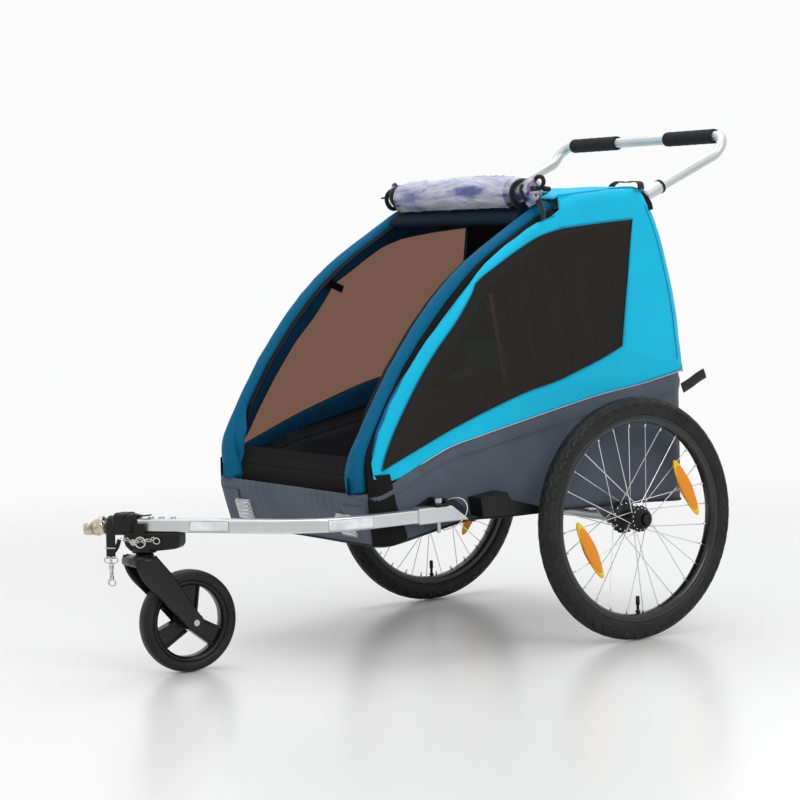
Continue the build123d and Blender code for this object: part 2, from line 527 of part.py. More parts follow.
# ---- webbing and wire ----
def free_cords():
    """Safety strap that hangs from the arm's front end with its snap hook, and the pin's wire lanyard."""
    path = FilletPolyline(*[along_arm(STRAP_S, side, z) for side, z in STRAP_ROUTE], radius=STRAP_RADII)
    start = Plane(origin=path @ 0, x_dir=ARM_DIR, z_dir=path % 0)
    strap = sweep(start * Rectangle(STRAP_W, STRAP_T), path=path)
    save("safety_strap", strap)
    top = along_arm(STRAP_S, 21)
    hook = rod((top.X, top.Y, 198), (top.X, top.Y, 229.8), 4)
    for z, r in ((221, 8), (190, 9)):
        plane = Plane(origin=(top.X, top.Y, z), z_dir=ARM_SIDE)
        hook += plane * Torus(r, 2)
    save("strap_hook", hook)
    wire = FilletPolyline(*LANYARD_ROUTE, radius=LANYARD_BEND)
    save("arm_lanyard", swept(wire, Circle(LANYARD_R)))
    print("strap radii", STRAP_RADII, "lanyard radius", LANYARD_BEND)


os.makedirs("parts", exist_ok=True)
for build in (floor_frame, axle_parts, hinge_brackets, frame_bolts, fabric_tub, seat_parts, side_panels, end_panels,
              tub_trim, uprights, handlebar, roll_cage, cage_sleeves, front_cover, roof_trim, wheel_parts, tow_arm,
              arm_fittings, caster_bracket, caster_parts, free_cords):
    build()
print("centre_y", round(CENTRE_Y, 3), "front", round(FRONT_Y, 2), "rear", round(REAR_Y, 2))
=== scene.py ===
"""Looks of the child bicycle trailer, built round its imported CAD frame.

Places are in metres from the ground point under the wheel axle: at() moves them into the frame.
+X is the child's left side, -Y the nose, +Z up.
"""
import math
import random

import bmesh
import bpy
from mathutils import Matrix, Vector, noise


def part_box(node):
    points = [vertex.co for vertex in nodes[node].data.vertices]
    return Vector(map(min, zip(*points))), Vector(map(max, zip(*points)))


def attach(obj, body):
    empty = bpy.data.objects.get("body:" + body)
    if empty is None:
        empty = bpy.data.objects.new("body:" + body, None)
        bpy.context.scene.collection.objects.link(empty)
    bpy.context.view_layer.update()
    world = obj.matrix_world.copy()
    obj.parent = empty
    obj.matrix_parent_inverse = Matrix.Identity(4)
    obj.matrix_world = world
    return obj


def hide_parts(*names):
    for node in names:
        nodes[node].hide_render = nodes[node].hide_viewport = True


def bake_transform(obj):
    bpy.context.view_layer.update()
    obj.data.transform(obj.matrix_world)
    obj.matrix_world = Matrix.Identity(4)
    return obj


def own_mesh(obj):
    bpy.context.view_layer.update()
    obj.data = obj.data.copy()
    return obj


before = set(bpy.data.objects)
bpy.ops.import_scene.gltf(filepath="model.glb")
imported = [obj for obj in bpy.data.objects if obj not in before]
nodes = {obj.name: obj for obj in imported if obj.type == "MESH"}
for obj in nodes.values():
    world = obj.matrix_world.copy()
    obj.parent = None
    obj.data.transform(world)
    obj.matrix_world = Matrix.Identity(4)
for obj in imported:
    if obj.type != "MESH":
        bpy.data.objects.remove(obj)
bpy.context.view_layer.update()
random.seed(7)

axle_low, axle_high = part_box("tyre_left")
AXLE_Y = (axle_low.y + axle_high.y) / 2
WHEEL_R = (axle_high.z - axle_low.z) / 2
TRACK_X = (axle_low.x + axle_high.x) / 2

SIDES = ((1, "left"), (-1, "right"))


# ---- small geometry helpers ----
def at(x, y, z):
    """A point of the frame, from metres counted from the ground under the axle."""
    return Vector((x, y + AXLE_Y, z))


def mirrored(side, points):
    """at() for each point, on the given side."""
    return [at(side * x, y, z) for x, y, z in points]


def lerp(a, b, t):
    return a + (b - a) * t


def spaced(a, b, count):
    """count + 1 values from a to b."""
    return [lerp(a, b, k / count) for k in range(count + 1)]


def shares(count):
    """Shares from -1 to 1, count of them each way from 0."""
    return [k / count - 1 for k in range(2 * count + 1)]


def clamp(v, low=0.0, high=1.0):
    return max(low, min(high, v))


def bell(t, middle, width):
    return math.exp(-((t - middle) / width) ** 2)


def turns(count):
    """That many angles, evenly spread over one turn."""
    return [2 * math.pi * k / count for k in range(count)]


def power(value, exponent):
    """A power that keeps the sign: the corners of a rounded rectangle."""
    return math.copysign(abs(value) ** exponent, value)


def catmull(points, steps):
    """A smooth line through the points, with that many steps between neighbours."""
    pts = [Vector(p) for p in points]
    line = []
    for i in range(len(pts) - 1):
        p0, p1, p2, p3 = pts[max(i - 1, 0)], pts[i], pts[i + 1], pts[min(i + 2, len(pts) - 1)]
        for k in range(steps):
            t = k / steps
            line.append(0.5 * (2 * p1 + (p2 - p0) * t + (2 * p0 - 5 * p1 + 4 * p2 - p3) * t * t
                               + (3 * p1 - p0 - 3 * p2 + p3) * t * t * t))
    return line + [pts[-1]]


def rounded(points, radii, step=math.radians(6)):
    """A line of straight runs whose corners are arcs of the given radii."""
    pts = [Vector(p) for p in points]
    line = [pts[0]]
    for before, corner, after, radius in zip(pts, pts[1:], pts[2:], radii):
        a, b = (before - corner).normalized(), (after - corner).normalized()
        turn = math.pi - a.angle(b)
        cut = radius * math.tan(turn / 2)
        centre = corner + (a + b).normalized() * (radius / math.cos(turn / 2))
        start = corner + a * cut - centre
        count = max(2, int(turn / step) + 1)
        ahead = -a * radius
        for k in range(count + 1):
            angle = turn * k / count
            line.append(centre + start * math.cos(angle) + ahead * math.sin(angle))
    return line + [pts[-1]]


def resample(points, count):
    """The same line as count points an equal distance apart."""
    pts = [Vector(p) for p in points]
    total = [0.0]
    for a, b in zip(pts, pts[1:]):
        total.append(total[-1] + (b - a).length)
    out, i = [], 0
    for k in range(count):
        d = total[-1] * k / (count - 1)
        while i < len(pts) - 2 and total[i + 1] < d:
            i += 1
        span = total[i + 1] - total[i]
        out.append(pts[i].lerp(pts[i + 1], (d - total[i]) / span if span else 0))
    return out


def height_at(line, y):
    """z at y on a line of (y, z) points, smoothed between them."""
    if y <= line[0][0]:
        return line[0][1]
    for i, ((y0, z0), (y1, z1)) in enumerate(zip(line, line[1:])):
        if y <= y1:
            slope = (z1 - z0) / (y1 - y0)
            before = line[i - 1] if i else (y0 - (y1 - y0), z0 - (z1 - z0))
            after = line[i + 2] if i + 2 < len(line) else (y1 + (y1 - y0), z1 + (z1 - z0))
            m0 = (slope + (z0 - before[1]) / (y0 - before[0])) / 2
            m1 = (slope + (after[1] - z1) / (after[0] - y1)) / 2
            h, t = y1 - y0, (y - y0) / (y1 - y0)
            return (z0 * (1 + 2 * t) * (1 - t) ** 2 + m0 * h * t * (1 - t) ** 2
                    + z1 * t * t * (3 - 2 * t) + m1 * h * t * t * (t - 1))
    return line[-1][1]


def build(name, verts, faces, mat, smooth=True):
    """A mesh object with merged doubles and outward normals."""
    mesh = bpy.data.meshes.new(name)
    mesh.from_pydata([tuple(v) for v in verts], [], faces)
    work = bmesh.new()
    work.from_mesh(mesh)
    bmesh.ops.remove_doubles(work, verts=work.verts, dist=1e-6)
    bmesh.ops.recalc_face_normals(work, faces=work.faces)
    work.to_mesh(mesh)
    work.free()
    for poly in mesh.polygons:
        poly.use_smooth = smooth
    mesh.materials.append(mat)
    obj = bpy.data.objects.new(name, mesh)
    bpy.context.scene.collection.objects.link(obj)
    return obj


def loft(name, rows, mat, close_rows=False, close_ends=False, caps=False):
    """A skin over rows of points. close_rows joins each row's ends, close_ends joins last row to first."""
    verts = [p for row in rows for p in row]
    n, faces = len(rows[0]), []
    for i in range(len(rows) if close_ends else len(rows) - 1):
        j = (i + 1) % len(rows)
        for k in range(n if close_rows else n - 1):
            m = (k + 1) % n
            faces.append((i * n + k, i * n + m, j * n + m, j * n + k))
    if caps:
        faces.append(tuple(range(n)))
        faces.append(tuple((len(rows) - 1) * n + k for k in range(n)))
    return build(name, verts, faces, mat)


def block(name, rows, mat):
    """A closed body: rings of points with both ends capped."""
    return loft(name, rows, mat, close_rows=True, caps=True)


def tangents(path, closed=False):
    n = len(path)
    out = []
    for i in range(n):
        a = path[(i - 1) % n] if closed or i else path[0]
        b = path[(i + 1) % n] if closed or i < n - 1 else path[-1]
        out.append((b - a).normalized())
    return out


def sweep(name, path, section, mat, side=None, closed=False):
    """Sweeps section(i, share) -> [(a, b), ...] along a path: a runs along side, b across it."""
    path = [Vector(p) for p in path]
    tangent = tangents(path, closed)
    if side is None:
        carried = tangent[0].orthogonal().normalized()
    rows = []
    for i, (p, t) in enumerate(zip(path, tangent)):
        if side is None:
            carried = (carried - t * carried.dot(t)).normalized()
            s = carried
        else:
            s = Vector(side(i)) if callable(side) else Vector(side)
            s = (s - t * s.dot(t)).normalized()
        up = t.cross(s)
        rows.append([p + s * a + up * b for a, b in section(i, i / (len(path) - 1))])
    return loft(name, rows, mat, close_rows=True, close_ends=closed, caps=not closed)


def circle(radius, sides=16):
    ring = [(math.cos(a), math.sin(a)) for a in turns(sides)]
    return lambda i, share: [(radius * a, radius * b) for a, b in ring]


def closed_profile(half, middle=()):
    """Both halves of a symmetric profile of (along, radius) points, closed."""
    whole = [*half, *middle, *[(-d, r) for d, r in reversed(half)]]
    return whole + whole[:1]


def webbing(width, thick, crown=0.0):
    """Section of flat webbing with rounded edges."""
    w, t = width / 2, thick / 2
    half = [(-w, 0), (-w + t, t), (-w / 2, t + crown * 0.7), (0, t + crown), (w / 2, t + crown * 0.7),
            (w - t, t), (w, 0)]
    under = [(w - t, -t), (w / 2, -t), (0, -t), (-w / 2, -t), (-w + t, -t)]
    return lambda i, share: half + under


def pipe(name, points, radius, mat, steps=8, sides=16, closed=False):
    line = catmull(points, steps) if steps > 1 else [Vector(p) for p in points]
    return sweep(name, line, circle(radius, sides), mat, closed=closed)


def strap(name, points, width, thick, mat, side, steps=8, crown=0.0):
    return sweep(name, catmull(points, steps), webbing(width, thick, crown), mat, side=side)


def lathe(name, profile, centre, axis, mat, sides=64, wobble=None):
    """Turns (along the axis, radius) points round an axis through centre."""
    axis = Vector(axis).normalized()
    u = axis.orthogonal().normalized()
    v = axis.cross(u)
    rows = []
    for angle in turns(sides):
        out = u * math.cos(angle) + v * math.sin(angle)
        rows.append([Vector(centre) + axis * d + out * (r + (wobble(angle, d, r) if wobble else 0))
                     for d, r in profile])
    return loft(name, rows, mat, close_ends=True)


def soften(obj, width=0.0006, segments=2, angle=30):
    """Small rounded edges and smooth faces, as modifiers."""
    mod = obj.modifiers.new("bevel", "BEVEL")
    mod.width, mod.segments, mod.limit_method = width, segments, "ANGLE"
    mod.angle_limit = math.radians(angle)
    mod.harden_normals = True
    for poly in obj.data.polygons:
        poly.use_smooth = True
    return obj


def thicken(obj, thick, offset=-1.0):
    mod = obj.modifiers.new("thickness", "SOLIDIFY")
    mod.thickness, mod.offset = thick, offset
    return obj


def fabric(name, rows, mat, thick=0.0012, offset=0):
    """A sheet over rows of points, thickened for good."""
    return applied(thicken(loft(name, rows, mat), thick, offset))


def refine(obj, levels=1):
    mod = obj.modifiers.new("smooth", "SUBSURF")
    mod.levels = mod.render_levels = levels
    return obj


def applied(obj):
    """Replaces the mesh by what its modifiers make of it."""
    graph = bpy.context.evaluated_depsgraph_get()
    made = bpy.data.meshes.new_from_object(obj.evaluated_get(graph))
    obj.modifiers.clear()
    obj.data = made
    return obj


def joined(name, parts):
    """Several mesh objects as one piece, each with its own material."""
    for part in parts:
        if part.modifiers:
            applied(part)
    bpy.ops.object.select_all(action="DESELECT")
    for part in parts:
        part.select_set(True)
    bpy.context.view_layer.objects.active = parts[0]
    bpy.ops.object.join()
    parts[0].name = name
    return parts[0]


def piece(obj, body, slot=None, replaces=()):
    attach(obj, body)
    if replaces:
        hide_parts(*replaces)
    return obj


def replaces_on_left(side, name):
    """A node that holds both sides is replaced once, by the left one's piece."""
    return [name] if side > 0 else []


def wobble(x, y, z, scale, amount):
    """Seeded smooth noise, for sag and creases."""
    return amount * noise.noise(Vector((x, y, z)) * scale)


# ---- materials ----
def material(name, colour, roughness, metallic=0.0, **sockets):
    mat = bpy.data.materials.new(name)
    mat.use_nodes = True
    shader = shader_of(mat)
    shader.inputs["Base Color"].default_value = (*colour, 1)
    shader.inputs["Roughness"].default_value = roughness
    shader.inputs["Metallic"].default_value = metallic
    for key, value in sockets.items():
        shader.inputs[key.replace("_", " ").title().replace("Ior", "IOR")].default_value = value
    return mat


def shader_of(mat):
    return mat.node_tree.nodes["Principled BSDF"]


def node(mat, kind, **values):
    made = mat.node_tree.nodes.new(kind)
    for key, value in values.items():
        if hasattr(made, key):
            setattr(made, key, value)
        else:
            made.inputs[key.replace("_", " ").title()].default_value = value
    return made


def link(mat, a, b):
    mat.node_tree.links.new(a, b)


def place_of(mat, stretch=(1, 1, 1), turn=(0, 0, 0)):
    """Object coordinates, stretched and turned."""
    coords = node(mat, "ShaderNodeTexCoord")
    mapping = node(mat, "ShaderNodeMapping")
    mapping.inputs["Scale"].default_value = stretch
    mapping.inputs["Rotation"].default_value = [math.radians(a) for a in turn]
    link(mat, coords.outputs["Object"], mapping.inputs["Vector"])
    return mapping.outputs["Vector"]


def noise_of(mat, scale, detail=4.0, stretch=(1, 1, 1), turn=(0, 0, 0)):
    made = node(mat, "ShaderNodeTexNoise", scale=scale, detail=detail)
    link(mat, place_of(mat, stretch, turn), made.inputs["Vector"])
    return made.outputs["Fac"]


def bands_of(mat, pitch, axis, turn=(0, 0, 0), distortion=0.0):
    """Even ribs, pitch metres apart, across one axis."""
    made = node(mat, "ShaderNodeTexWave", wave_type="BANDS", bands_direction=axis)
    made.inputs["Scale"].default_value = 2 * math.pi / (20 * pitch)
    made.inputs["Distortion"].default_value = distortion
    link(mat, place_of(mat, turn=turn), made.inputs["Vector"])
    return made.outputs["Fac"]


def mixed(mat, a, b, operation="MULTIPLY"):
    made = node(mat, "ShaderNodeMath", operation=operation)
    link(mat, a, made.inputs[0])
    link(mat, b, made.inputs[1])
    return made.outputs[0]


def tint(mat, factor, *stops):
    """Base colour from a factor, through a ramp of (place, colour) stops."""
    ramp = node(mat, "ShaderNodeValToRGB")
    while len(ramp.color_ramp.elements) < len(stops):
        ramp.color_ramp.elements.new(0.5)
    for element, (place, colour) in zip(ramp.color_ramp.elements, stops):
        element.position = place
        element.color = (*colour, 1)
    link(mat, factor, ramp.inputs["Fac"])
    link(mat, ramp.outputs["Color"], shader_of(mat).inputs["Base Color"])


def roughen(mat, factor, low, high):
    spread = node(mat, "ShaderNodeMapRange")
    spread.inputs["To Min"].default_value = low
    spread.inputs["To Max"].default_value = high
    link(mat, factor, spread.inputs["Value"])
    link(mat, spread.outputs["Result"], shader_of(mat).inputs["Roughness"])


def emboss(mat, factor, distance, strength=1.0):
    """Adds a bump on top of the ones already there."""
    normal = shader_of(mat).inputs["Normal"]
    bump = node(mat, "ShaderNodeBump")
    bump.inputs["Strength"].default_value = strength
    bump.inputs["Distance"].default_value = distance
    link(mat, factor, bump.inputs["Height"])
    if normal.links:
        link(mat, normal.links[0].from_socket, bump.inputs["Normal"])
    link(mat, bump.outputs["Normal"], normal)


def shades(colour, *factors):
    return [tuple(clamp(c * f) for c in colour) for f in factors]


def cloth(name, colour, pitch=0.0009, axes=("Y", "Z"), roughness=0.72, sheen=0.25, spread=0.12,
          depth=0.00025):
    """Plain woven fabric: two sets of threads, soft creases and slightly uneven dye."""
    mat = material(name, colour, roughness, sheen_weight=sheen, sheen_roughness=0.5, specular_ior_level=0.2)
    dark, light = shades(colour, 1 - spread, 1 + spread)
    tint(mat, noise_of(mat, 9, 6), (0.35, dark), (0.65, light))
    roughen(mat, noise_of(mat, 60, 3), roughness - 0.07, roughness + 0.07)
    emboss(mat, noise_of(mat, 16, 5), 0.0022, 0.35)
    weave = mixed(mat, bands_of(mat, pitch, axes[0]), bands_of(mat, pitch, axes[1]), "ADD")
    emboss(mat, weave, depth, 0.6)
    return mat


def plastic(name, colour, roughness=0.45, grain=420, depth=0.00012, **sockets):
    """Moulded plastic with a fine spark-eroded grain and a few scuffs."""
    mat = material(name, colour, roughness, **sockets)
    dark, light = shades(colour, 0.85, 1.25)
    tint(mat, noise_of(mat, 30, 5), (0.3, dark), (0.7, light))
    roughen(mat, noise_of(mat, 45, 6), roughness - 0.08, roughness + 0.1)
    emboss(mat, noise_of(mat, grain, 2), depth, 0.5)
    return mat


def metal(name, colour, roughness, stretch=(1, 1, 1), scale=300, depth=0.00006):
    """Bare metal with fine drawn lines along its length and slightly uneven polish."""
    mat = material(name, colour, roughness, 1.0)
    dark, light = shades(colour, 0.93, 1.05)
    tint(mat, noise_of(mat, 12, 4), (0.3, dark), (0.7, light))
    roughen(mat, noise_of(mat, scale, 3, stretch), roughness - 0.06, roughness + 0.08)
    emboss(mat, noise_of(mat, scale, 2, stretch), depth, 0.4)
    return mat


CYAN, DARK_BLUE = (0.0, 0.50, 0.77), (0.0, 0.080, 0.165)
GREY, BLACK = (0.076, 0.090, 0.120), (0.006, 0.0055, 0.006)
ALUMINIUM = (0.66, 0.665, 0.67)

cyan_side = cloth("cyan_side_fabric", CYAN, axes=("Y", "Z"), spread=0.05, sheen=0.08)
cyan_roof = cloth("cyan_roof_fabric", CYAN, axes=("X", "Y"), spread=0.05, sheen=0.08)
cyan_rear = cloth("cyan_rear_fabric", CYAN, axes=("X", "Z"), spread=0.05, sheen=0.08)
grey_cloth = cloth("grey_tub_fabric", GREY, pitch=0.0011, axes=("Y", "Z"), sheen=0.15)
black_cloth = cloth("black_fabric", BLACK, pitch=0.0012, axes=("X", "Z"), sheen=0.0, roughness=0.85)
lining_cloth = cloth("lining_fabric", (0.0, 0.13, 0.34), pitch=0.0012, axes=("Y", "Z"), sheen=0.05,
                     spread=0.1)
# navy darkened to near black: painted shade on the band and tube under the rolled cover
shaded_header_cloth = cloth("header_fabric_painted_shade", (0.0, 0.010, 0.024), pitch=0.0012, axes=("X", "Z"), sheen=0.0)
seat_cloth = cloth("seat_fabric", (0.018, 0.017, 0.016), pitch=0.0015, axes=("X", "Z"), sheen=0.1,
                   roughness=0.85)
web_cloth = cloth("webbing", (0.007, 0.0065, 0.0065), pitch=0.0016, axes=("Z", "Y"), roughness=0.66,
                  depth=0.0005)


def knit():
    """Ribbed stretch fabric of the cage sleeves, dark and light yarns."""
    mat = material("sleeve_fabric", DARK_BLUE, 0.6, specular_ior_level=0.12)
    yarn = mixed(mat, noise_of(mat, 420, 2, (1, 1, 2.5)), bands_of(mat, 0.0022, "Z", (35, 0, 0), 1.5), "ADD")
    dark, light = shades(DARK_BLUE, 0.45, 1.8)
    tint(mat, mixed(mat, yarn, yarn, "MAXIMUM"), (0.35, dark), (1.0, light))
    emboss(mat, yarn, 0.0006, 0.7)
    return mat


def blended(mat, first, second):
    """Puts a mix of two shaders on the surface and gives back its node."""
    mix = node(mat, "ShaderNodeMixShader")
    link(mat, first.outputs[0], mix.inputs[1])
    link(mat, second.outputs[0], mix.inputs[2])
    link(mat, mix.outputs[0], mat.node_tree.nodes["Material Output"].inputs["Surface"])
    return mix


def see_through(name, colour, passes, gloss_roughness, opacity):
    """A thin sheet that lets tinted light straight through and keeps the rest as surface."""
    mat = material(name, colour, gloss_roughness, specular_ior_level=0.6)
    clear = node(mat, "ShaderNodeBsdfTransparent")
    clear.inputs["Color"].default_value = (*passes, 1)
    blended(mat, clear, shader_of(mat)).inputs["Fac"].default_value = opacity
    return mat


sleeve_cloth = knit()
window_vinyl = see_through("tinted_window_vinyl", (0.040, 0.034, 0.029), (0.475, 0.262, 0.180), 0.10, 0.34)
emboss(window_vinyl, noise_of(window_vinyl, 9, 4, (1, 0.5, 1.4), (25, 0, 0)), 0.012, 0.35)
mesh_cloth = see_through("insect_mesh", (0.003, 0.003, 0.003), (0.95, 0.93, 0.92), 0.8, 0.40)
shader_of(mesh_cloth).inputs["Specular IOR Level"].default_value = 0.0

tube_metal = metal("anodised_tube", ALUMINIUM, 0.48, (1, 0.05, 0.05))
arm_metal = metal("anodised_arm", (0.74, 0.745, 0.75), 0.36, (1, 0.04, 1))
bracket_metal = metal("bracket_plate", (0.72, 0.73, 0.74), 0.36, (1, 1, 0.1))
steel = metal("zinc_steel", (0.62, 0.62, 0.61), 0.28)
spoke_metal = metal("spoke_wire", (0.80, 0.80, 0.80), 0.18)
cast_metal = metal("cast_coupler", (0.60, 0.53, 0.43), 0.30, scale=120, depth=0.0006)
black_plastic = plastic("black_plastic", (0.006, 0.006, 0.0065), 0.36, specular_ior_level=0.3)
fork_plastic = plastic("fork_plastic", (0.007, 0.007, 0.0075), 0.27, specular_ior_level=0.35)
rim_paint = plastic("rim_paint", (0.006, 0.006, 0.0065), 0.28, grain=200, depth=0.00004, coat_weight=0.3)
foam = plastic("grip_foam", (0.010, 0.009, 0.009), 0.9, grain=700, depth=0.0008)
label_film = plastic("blank_label", (0.70, 0.71, 0.72), 0.4, grain=90, depth=0.00003)


def rubber():
    mat = material("tyre_rubber", (0.008, 0.008, 0.0085), 0.42, specular_ior_level=0.28)
    tint(mat, noise_of(mat, 24, 6), (0.3, (0.007, 0.007, 0.0075)), (0.7, (0.016, 0.016, 0.017)))
    roughen(mat, noise_of(mat, 70, 5), 0.38, 0.62)
    emboss(mat, noise_of(mat, 500, 3), 0.0003, 0.5)
    return mat


def crumpled_vinyl(name, opacity, *stops):
    """Clear vinyl that has been rolled up: its pale streaks are painted highlights, and its dark blue is
    painted shade in its depths.
    """
    mat = see_through(name, (0.80, 0.80, 0.88), (0.93, 0.94, 0.99), 0.10, opacity)
    # painted highlights and shade: noise streaks along the roll run through the given stops
    tint(mat, noise_of(mat, 26, 6, (0.20, 1, 1)), *stops)
    emboss(mat, noise_of(mat, 55, 6, (0.35, 1, 1)), 0.006, 0.6)
    return mat


def lens(name, colour, deep, cell=0.003):
    """Reflector: prisms under a clear smooth face."""
    mat = material(name, colour, 0.25, coat_weight=0.25, coat_roughness=0.1, specular_ior_level=0.3)
    prisms = mixed(mat, bands_of(mat, cell, "Z", (30, 0, 0)), bands_of(mat, cell, "Y", (30, 0, 0)))
    tint(mat, prisms, (0.1, deep), (0.8, colour))
    emboss(mat, prisms, 0.0012, 0.7)
    return mat


tyre_rubber = rubber()
# the pale stops are painted highlights, the dark blue stops painted shade inside the bundle
vinyl = crumpled_vinyl("clear_vinyl", 0.46, (0.36, (0.13, 0.15, 0.42)), (0.43, (0.56, 0.56, 0.78)),
                       (0.49, (0.94, 0.94, 0.97)), (0.55, (0.66, 0.66, 0.84)), (0.64, (0.97, 0.97, 0.98)))
vinyl_core = crumpled_vinyl("clear_vinyl_inner", 0.92, (0.38, (0.02, 0.05, 0.26)), (0.45, (0.14, 0.14, 0.38)),
                            (0.52, (0.50, 0.48, 0.68)), (0.62, (0.88, 0.87, 0.93)))
amber = lens("amber_lens", (1.0, 0.46, 0.0), (0.85, 0.22, 0.0))
yellow = lens("yellow_lens", (1.0, 0.78, 0.0), (0.9, 0.55, 0.0))
clear_lens = lens("clear_lens", (0.82, 0.83, 0.84), (0.42, 0.43, 0.45), cell=0.006)
piping = material("reflective_piping", (0.42, 0.46, 0.48), 0.4)
emboss(piping, noise_of(piping, 800, 2), 0.0002, 0.5)
thread_dark = material("dark_thread", (0.012, 0.013, 0.018), 0.8)
thread_blue = material("blue_thread", (0.0, 0.22, 0.34), 0.8)


# ---- cabin: the grey tub ----
HALF_W, CORNER_R = 0.2878, 0.040
NOSE_Y, SIDE_Y0, SIDE_Y1 = -0.606, -0.566, 0.170
ARC = CORNER_R * math.pi / 2
FRONT_A, REAR_A = -(ARC + HALF_W - CORNER_R), SIDE_Y1 - SIDE_Y0 + ARC + HALF_W - CORNER_R
BORDER = [(-0.606, 0.340), (-0.575, 0.350), (-0.548, 0.360), (-0.481, 0.391), (-0.408, 0.420),
          (-0.335, 0.436), (-0.235, 0.457), (-0.132, 0.478), (-0.027, 0.498), (0.081, 0.513), (0.136, 0.523),
          (0.206, 0.537)]
TUB_BOTTOM = [(-0.606, 0.238), (-0.577, 0.240), (-0.438, 0.261), (-0.365, 0.272), (-0.291, 0.271),
              (0.074, 0.268), (0.201, 0.262), (0.211, 0.262)]


def plan(a):
    """Place and outward direction on the tub's outline, a metres behind the front corner along the side."""
    side = SIDE_Y1 - SIDE_Y0
    if a < -ARC:
        return Vector((HALF_W - CORNER_R + a + ARC, NOSE_Y, 0)), Vector((0, -1, 0))
    if a < 0:
        out = Vector((math.cos(a / CORNER_R), math.sin(a / CORNER_R), 0))
        return Vector((HALF_W - CORNER_R, SIDE_Y0, 0)) + out * CORNER_R, out
    if a < side:
        return Vector((HALF_W, SIDE_Y0 + a, 0)), Vector((1, 0, 0))
    if a < side + ARC:
        turn = (a - side) / CORNER_R
        out = Vector((math.cos(turn), math.sin(turn), 0))
        return Vector((HALF_W - CORNER_R, SIDE_Y1, 0)) + out * CORNER_R, out
    return Vector((HALF_W - CORNER_R - (a - side - ARC), SIDE_Y1 + CORNER_R, 0)), Vector((0, 1, 0))


def tub_skin(a, z, out=0.0, side=1):
    """A point on the tub's outer face. The nose leans back below, and the walls are drawn in a little."""
    p, normal = plan(a)
    lean = clamp(1 - (a + ARC) / 0.19) * 0.029 * clamp((0.322 - z) / 0.083)
    flat = clamp((a - 0.03) / 0.1) * clamp((0.70 - a) / 0.1)
    rise = clamp((z - 0.27) / 0.2)
    drawn = 0.0035 * flat * math.sin(math.pi * rise) + 0.0006
    crease = wobble(p.x * 1.0, p.y, z * 1.4, 13, 0.0016)
    gather = bell(a, 0.10, 0.07) * bell(z, 0.385, 0.035) * math.sin((p.y * 0.8 + z) * 120) * 0.0013
    ripple = 0.0
    if a < -ARC:
        ripple = 0.0016 * math.sin(p.x * 260) * bell(p.x, 0.13, 0.06) * clamp((z - 0.26) / 0.05)
    p = p + normal * (out - drawn + crease + gather + ripple)
    return at(p.x * side, p.y + lean, z)


def around(step):
    count = int((REAR_A - FRONT_A) / step)
    return spaced(FRONT_A, REAR_A, count)


def tub():
    """Walls as one skin round the outline, with a stitched band under the border, and a floor."""
    half_way = around(0.009)
    columns = [(a, 1) for a in half_way] + [(a, -1) for a in half_way[-2:0:-1]]
    rows = []
    for a, side in columns:
        y = plan(a)[0].y
        top, bottom = height_at(BORDER, y), height_at(TUB_BOTTOM, y)
        band = lerp(0.024, 0.036, clamp((y + 0.5) / 0.6)) * clamp((a + ARC) / 0.05)
        row = []
        for share in (0, 0.08, 0.3, 0.55, 0.8, 0.96, 0.985, 1.0):
            swell = 0.0022 * math.sin(math.pi * min(share, 0.9)) + (0.0018 if 0.3 < share < 0.99 else 0)
            row.append(tub_skin(a, top - band * share, swell * clamp(band / 0.02), side))
        for k in range(1, 15):
            row.append(tub_skin(a, lerp(top - band, bottom, k / 14), 0, side))
        rows.append(row)
    walls = loft("tub_walls", rows, grey_cloth, close_ends=True)
    thicken(walls, 0.0016)
    corners = [a for a in around(0.02) if -ARC <= a <= SIDE_Y1 - SIDE_Y0 + ARC]
    floor_rows = []
    for a in corners:
        edge = tub_skin(a, height_at(TUB_BOTTOM, plan(a)[0].y))
        floor_rows.append([Vector((edge.x * (1 - k / 8), edge.y, edge.z + 0.0015 + 0.004 * bell(k, 8, 5)))
                           for k in range(17)])
    floor = thicken(loft("tub_floor", floor_rows, black_cloth), 0.0016, 1.0)
    piece(joined("tub_fabric", [walls, floor]), "chassis", "fabric_grey", ["fabric_tub"])
    binding("tub_bottom_binding", lambda a: height_at(TUB_BOTTOM, plan(a)[0].y) + 0.001, 0.0022, thread_dark)


def binding(name, height, radius, mat, out=0.0006, a0=FRONT_A, a1=REAR_A):
    """A round edge binding on the tub, at height(a), on both sides."""
    span = [a for a in around(0.012) if a0 <= a <= a1]
    if (a0, a1) == (FRONT_A, REAR_A):
        line = [tub_skin(a, height(a), out) for a in span]
        line += [tub_skin(a, height(a), out, -1) for a in span[-2:0:-1]]
        piece(sweep(name, line, circle(radius, 8), mat, closed=True), "chassis", "fabric_black")
        return
    for side, word in SIDES:
        line = [tub_skin(a, height(a), out, side) for a in span]
        piece(sweep(f"{name}_{word}", line, circle(radius, 8), mat), "chassis", "fabric_black")


def patch(name, outline, out, thick, mat, side=1):
    """Fabric laid on the tub: outline(v) gives the near and far a and the height at share v."""
    rows = []
    for k in range(17):
        a0, a1, z = outline(k / 16)
        rows.append([tub_skin(lerp(a0, a1, m / 10), z, out, side) for m in range(11)])
    return thicken(loft(name, rows, mat), thick, 1.0)


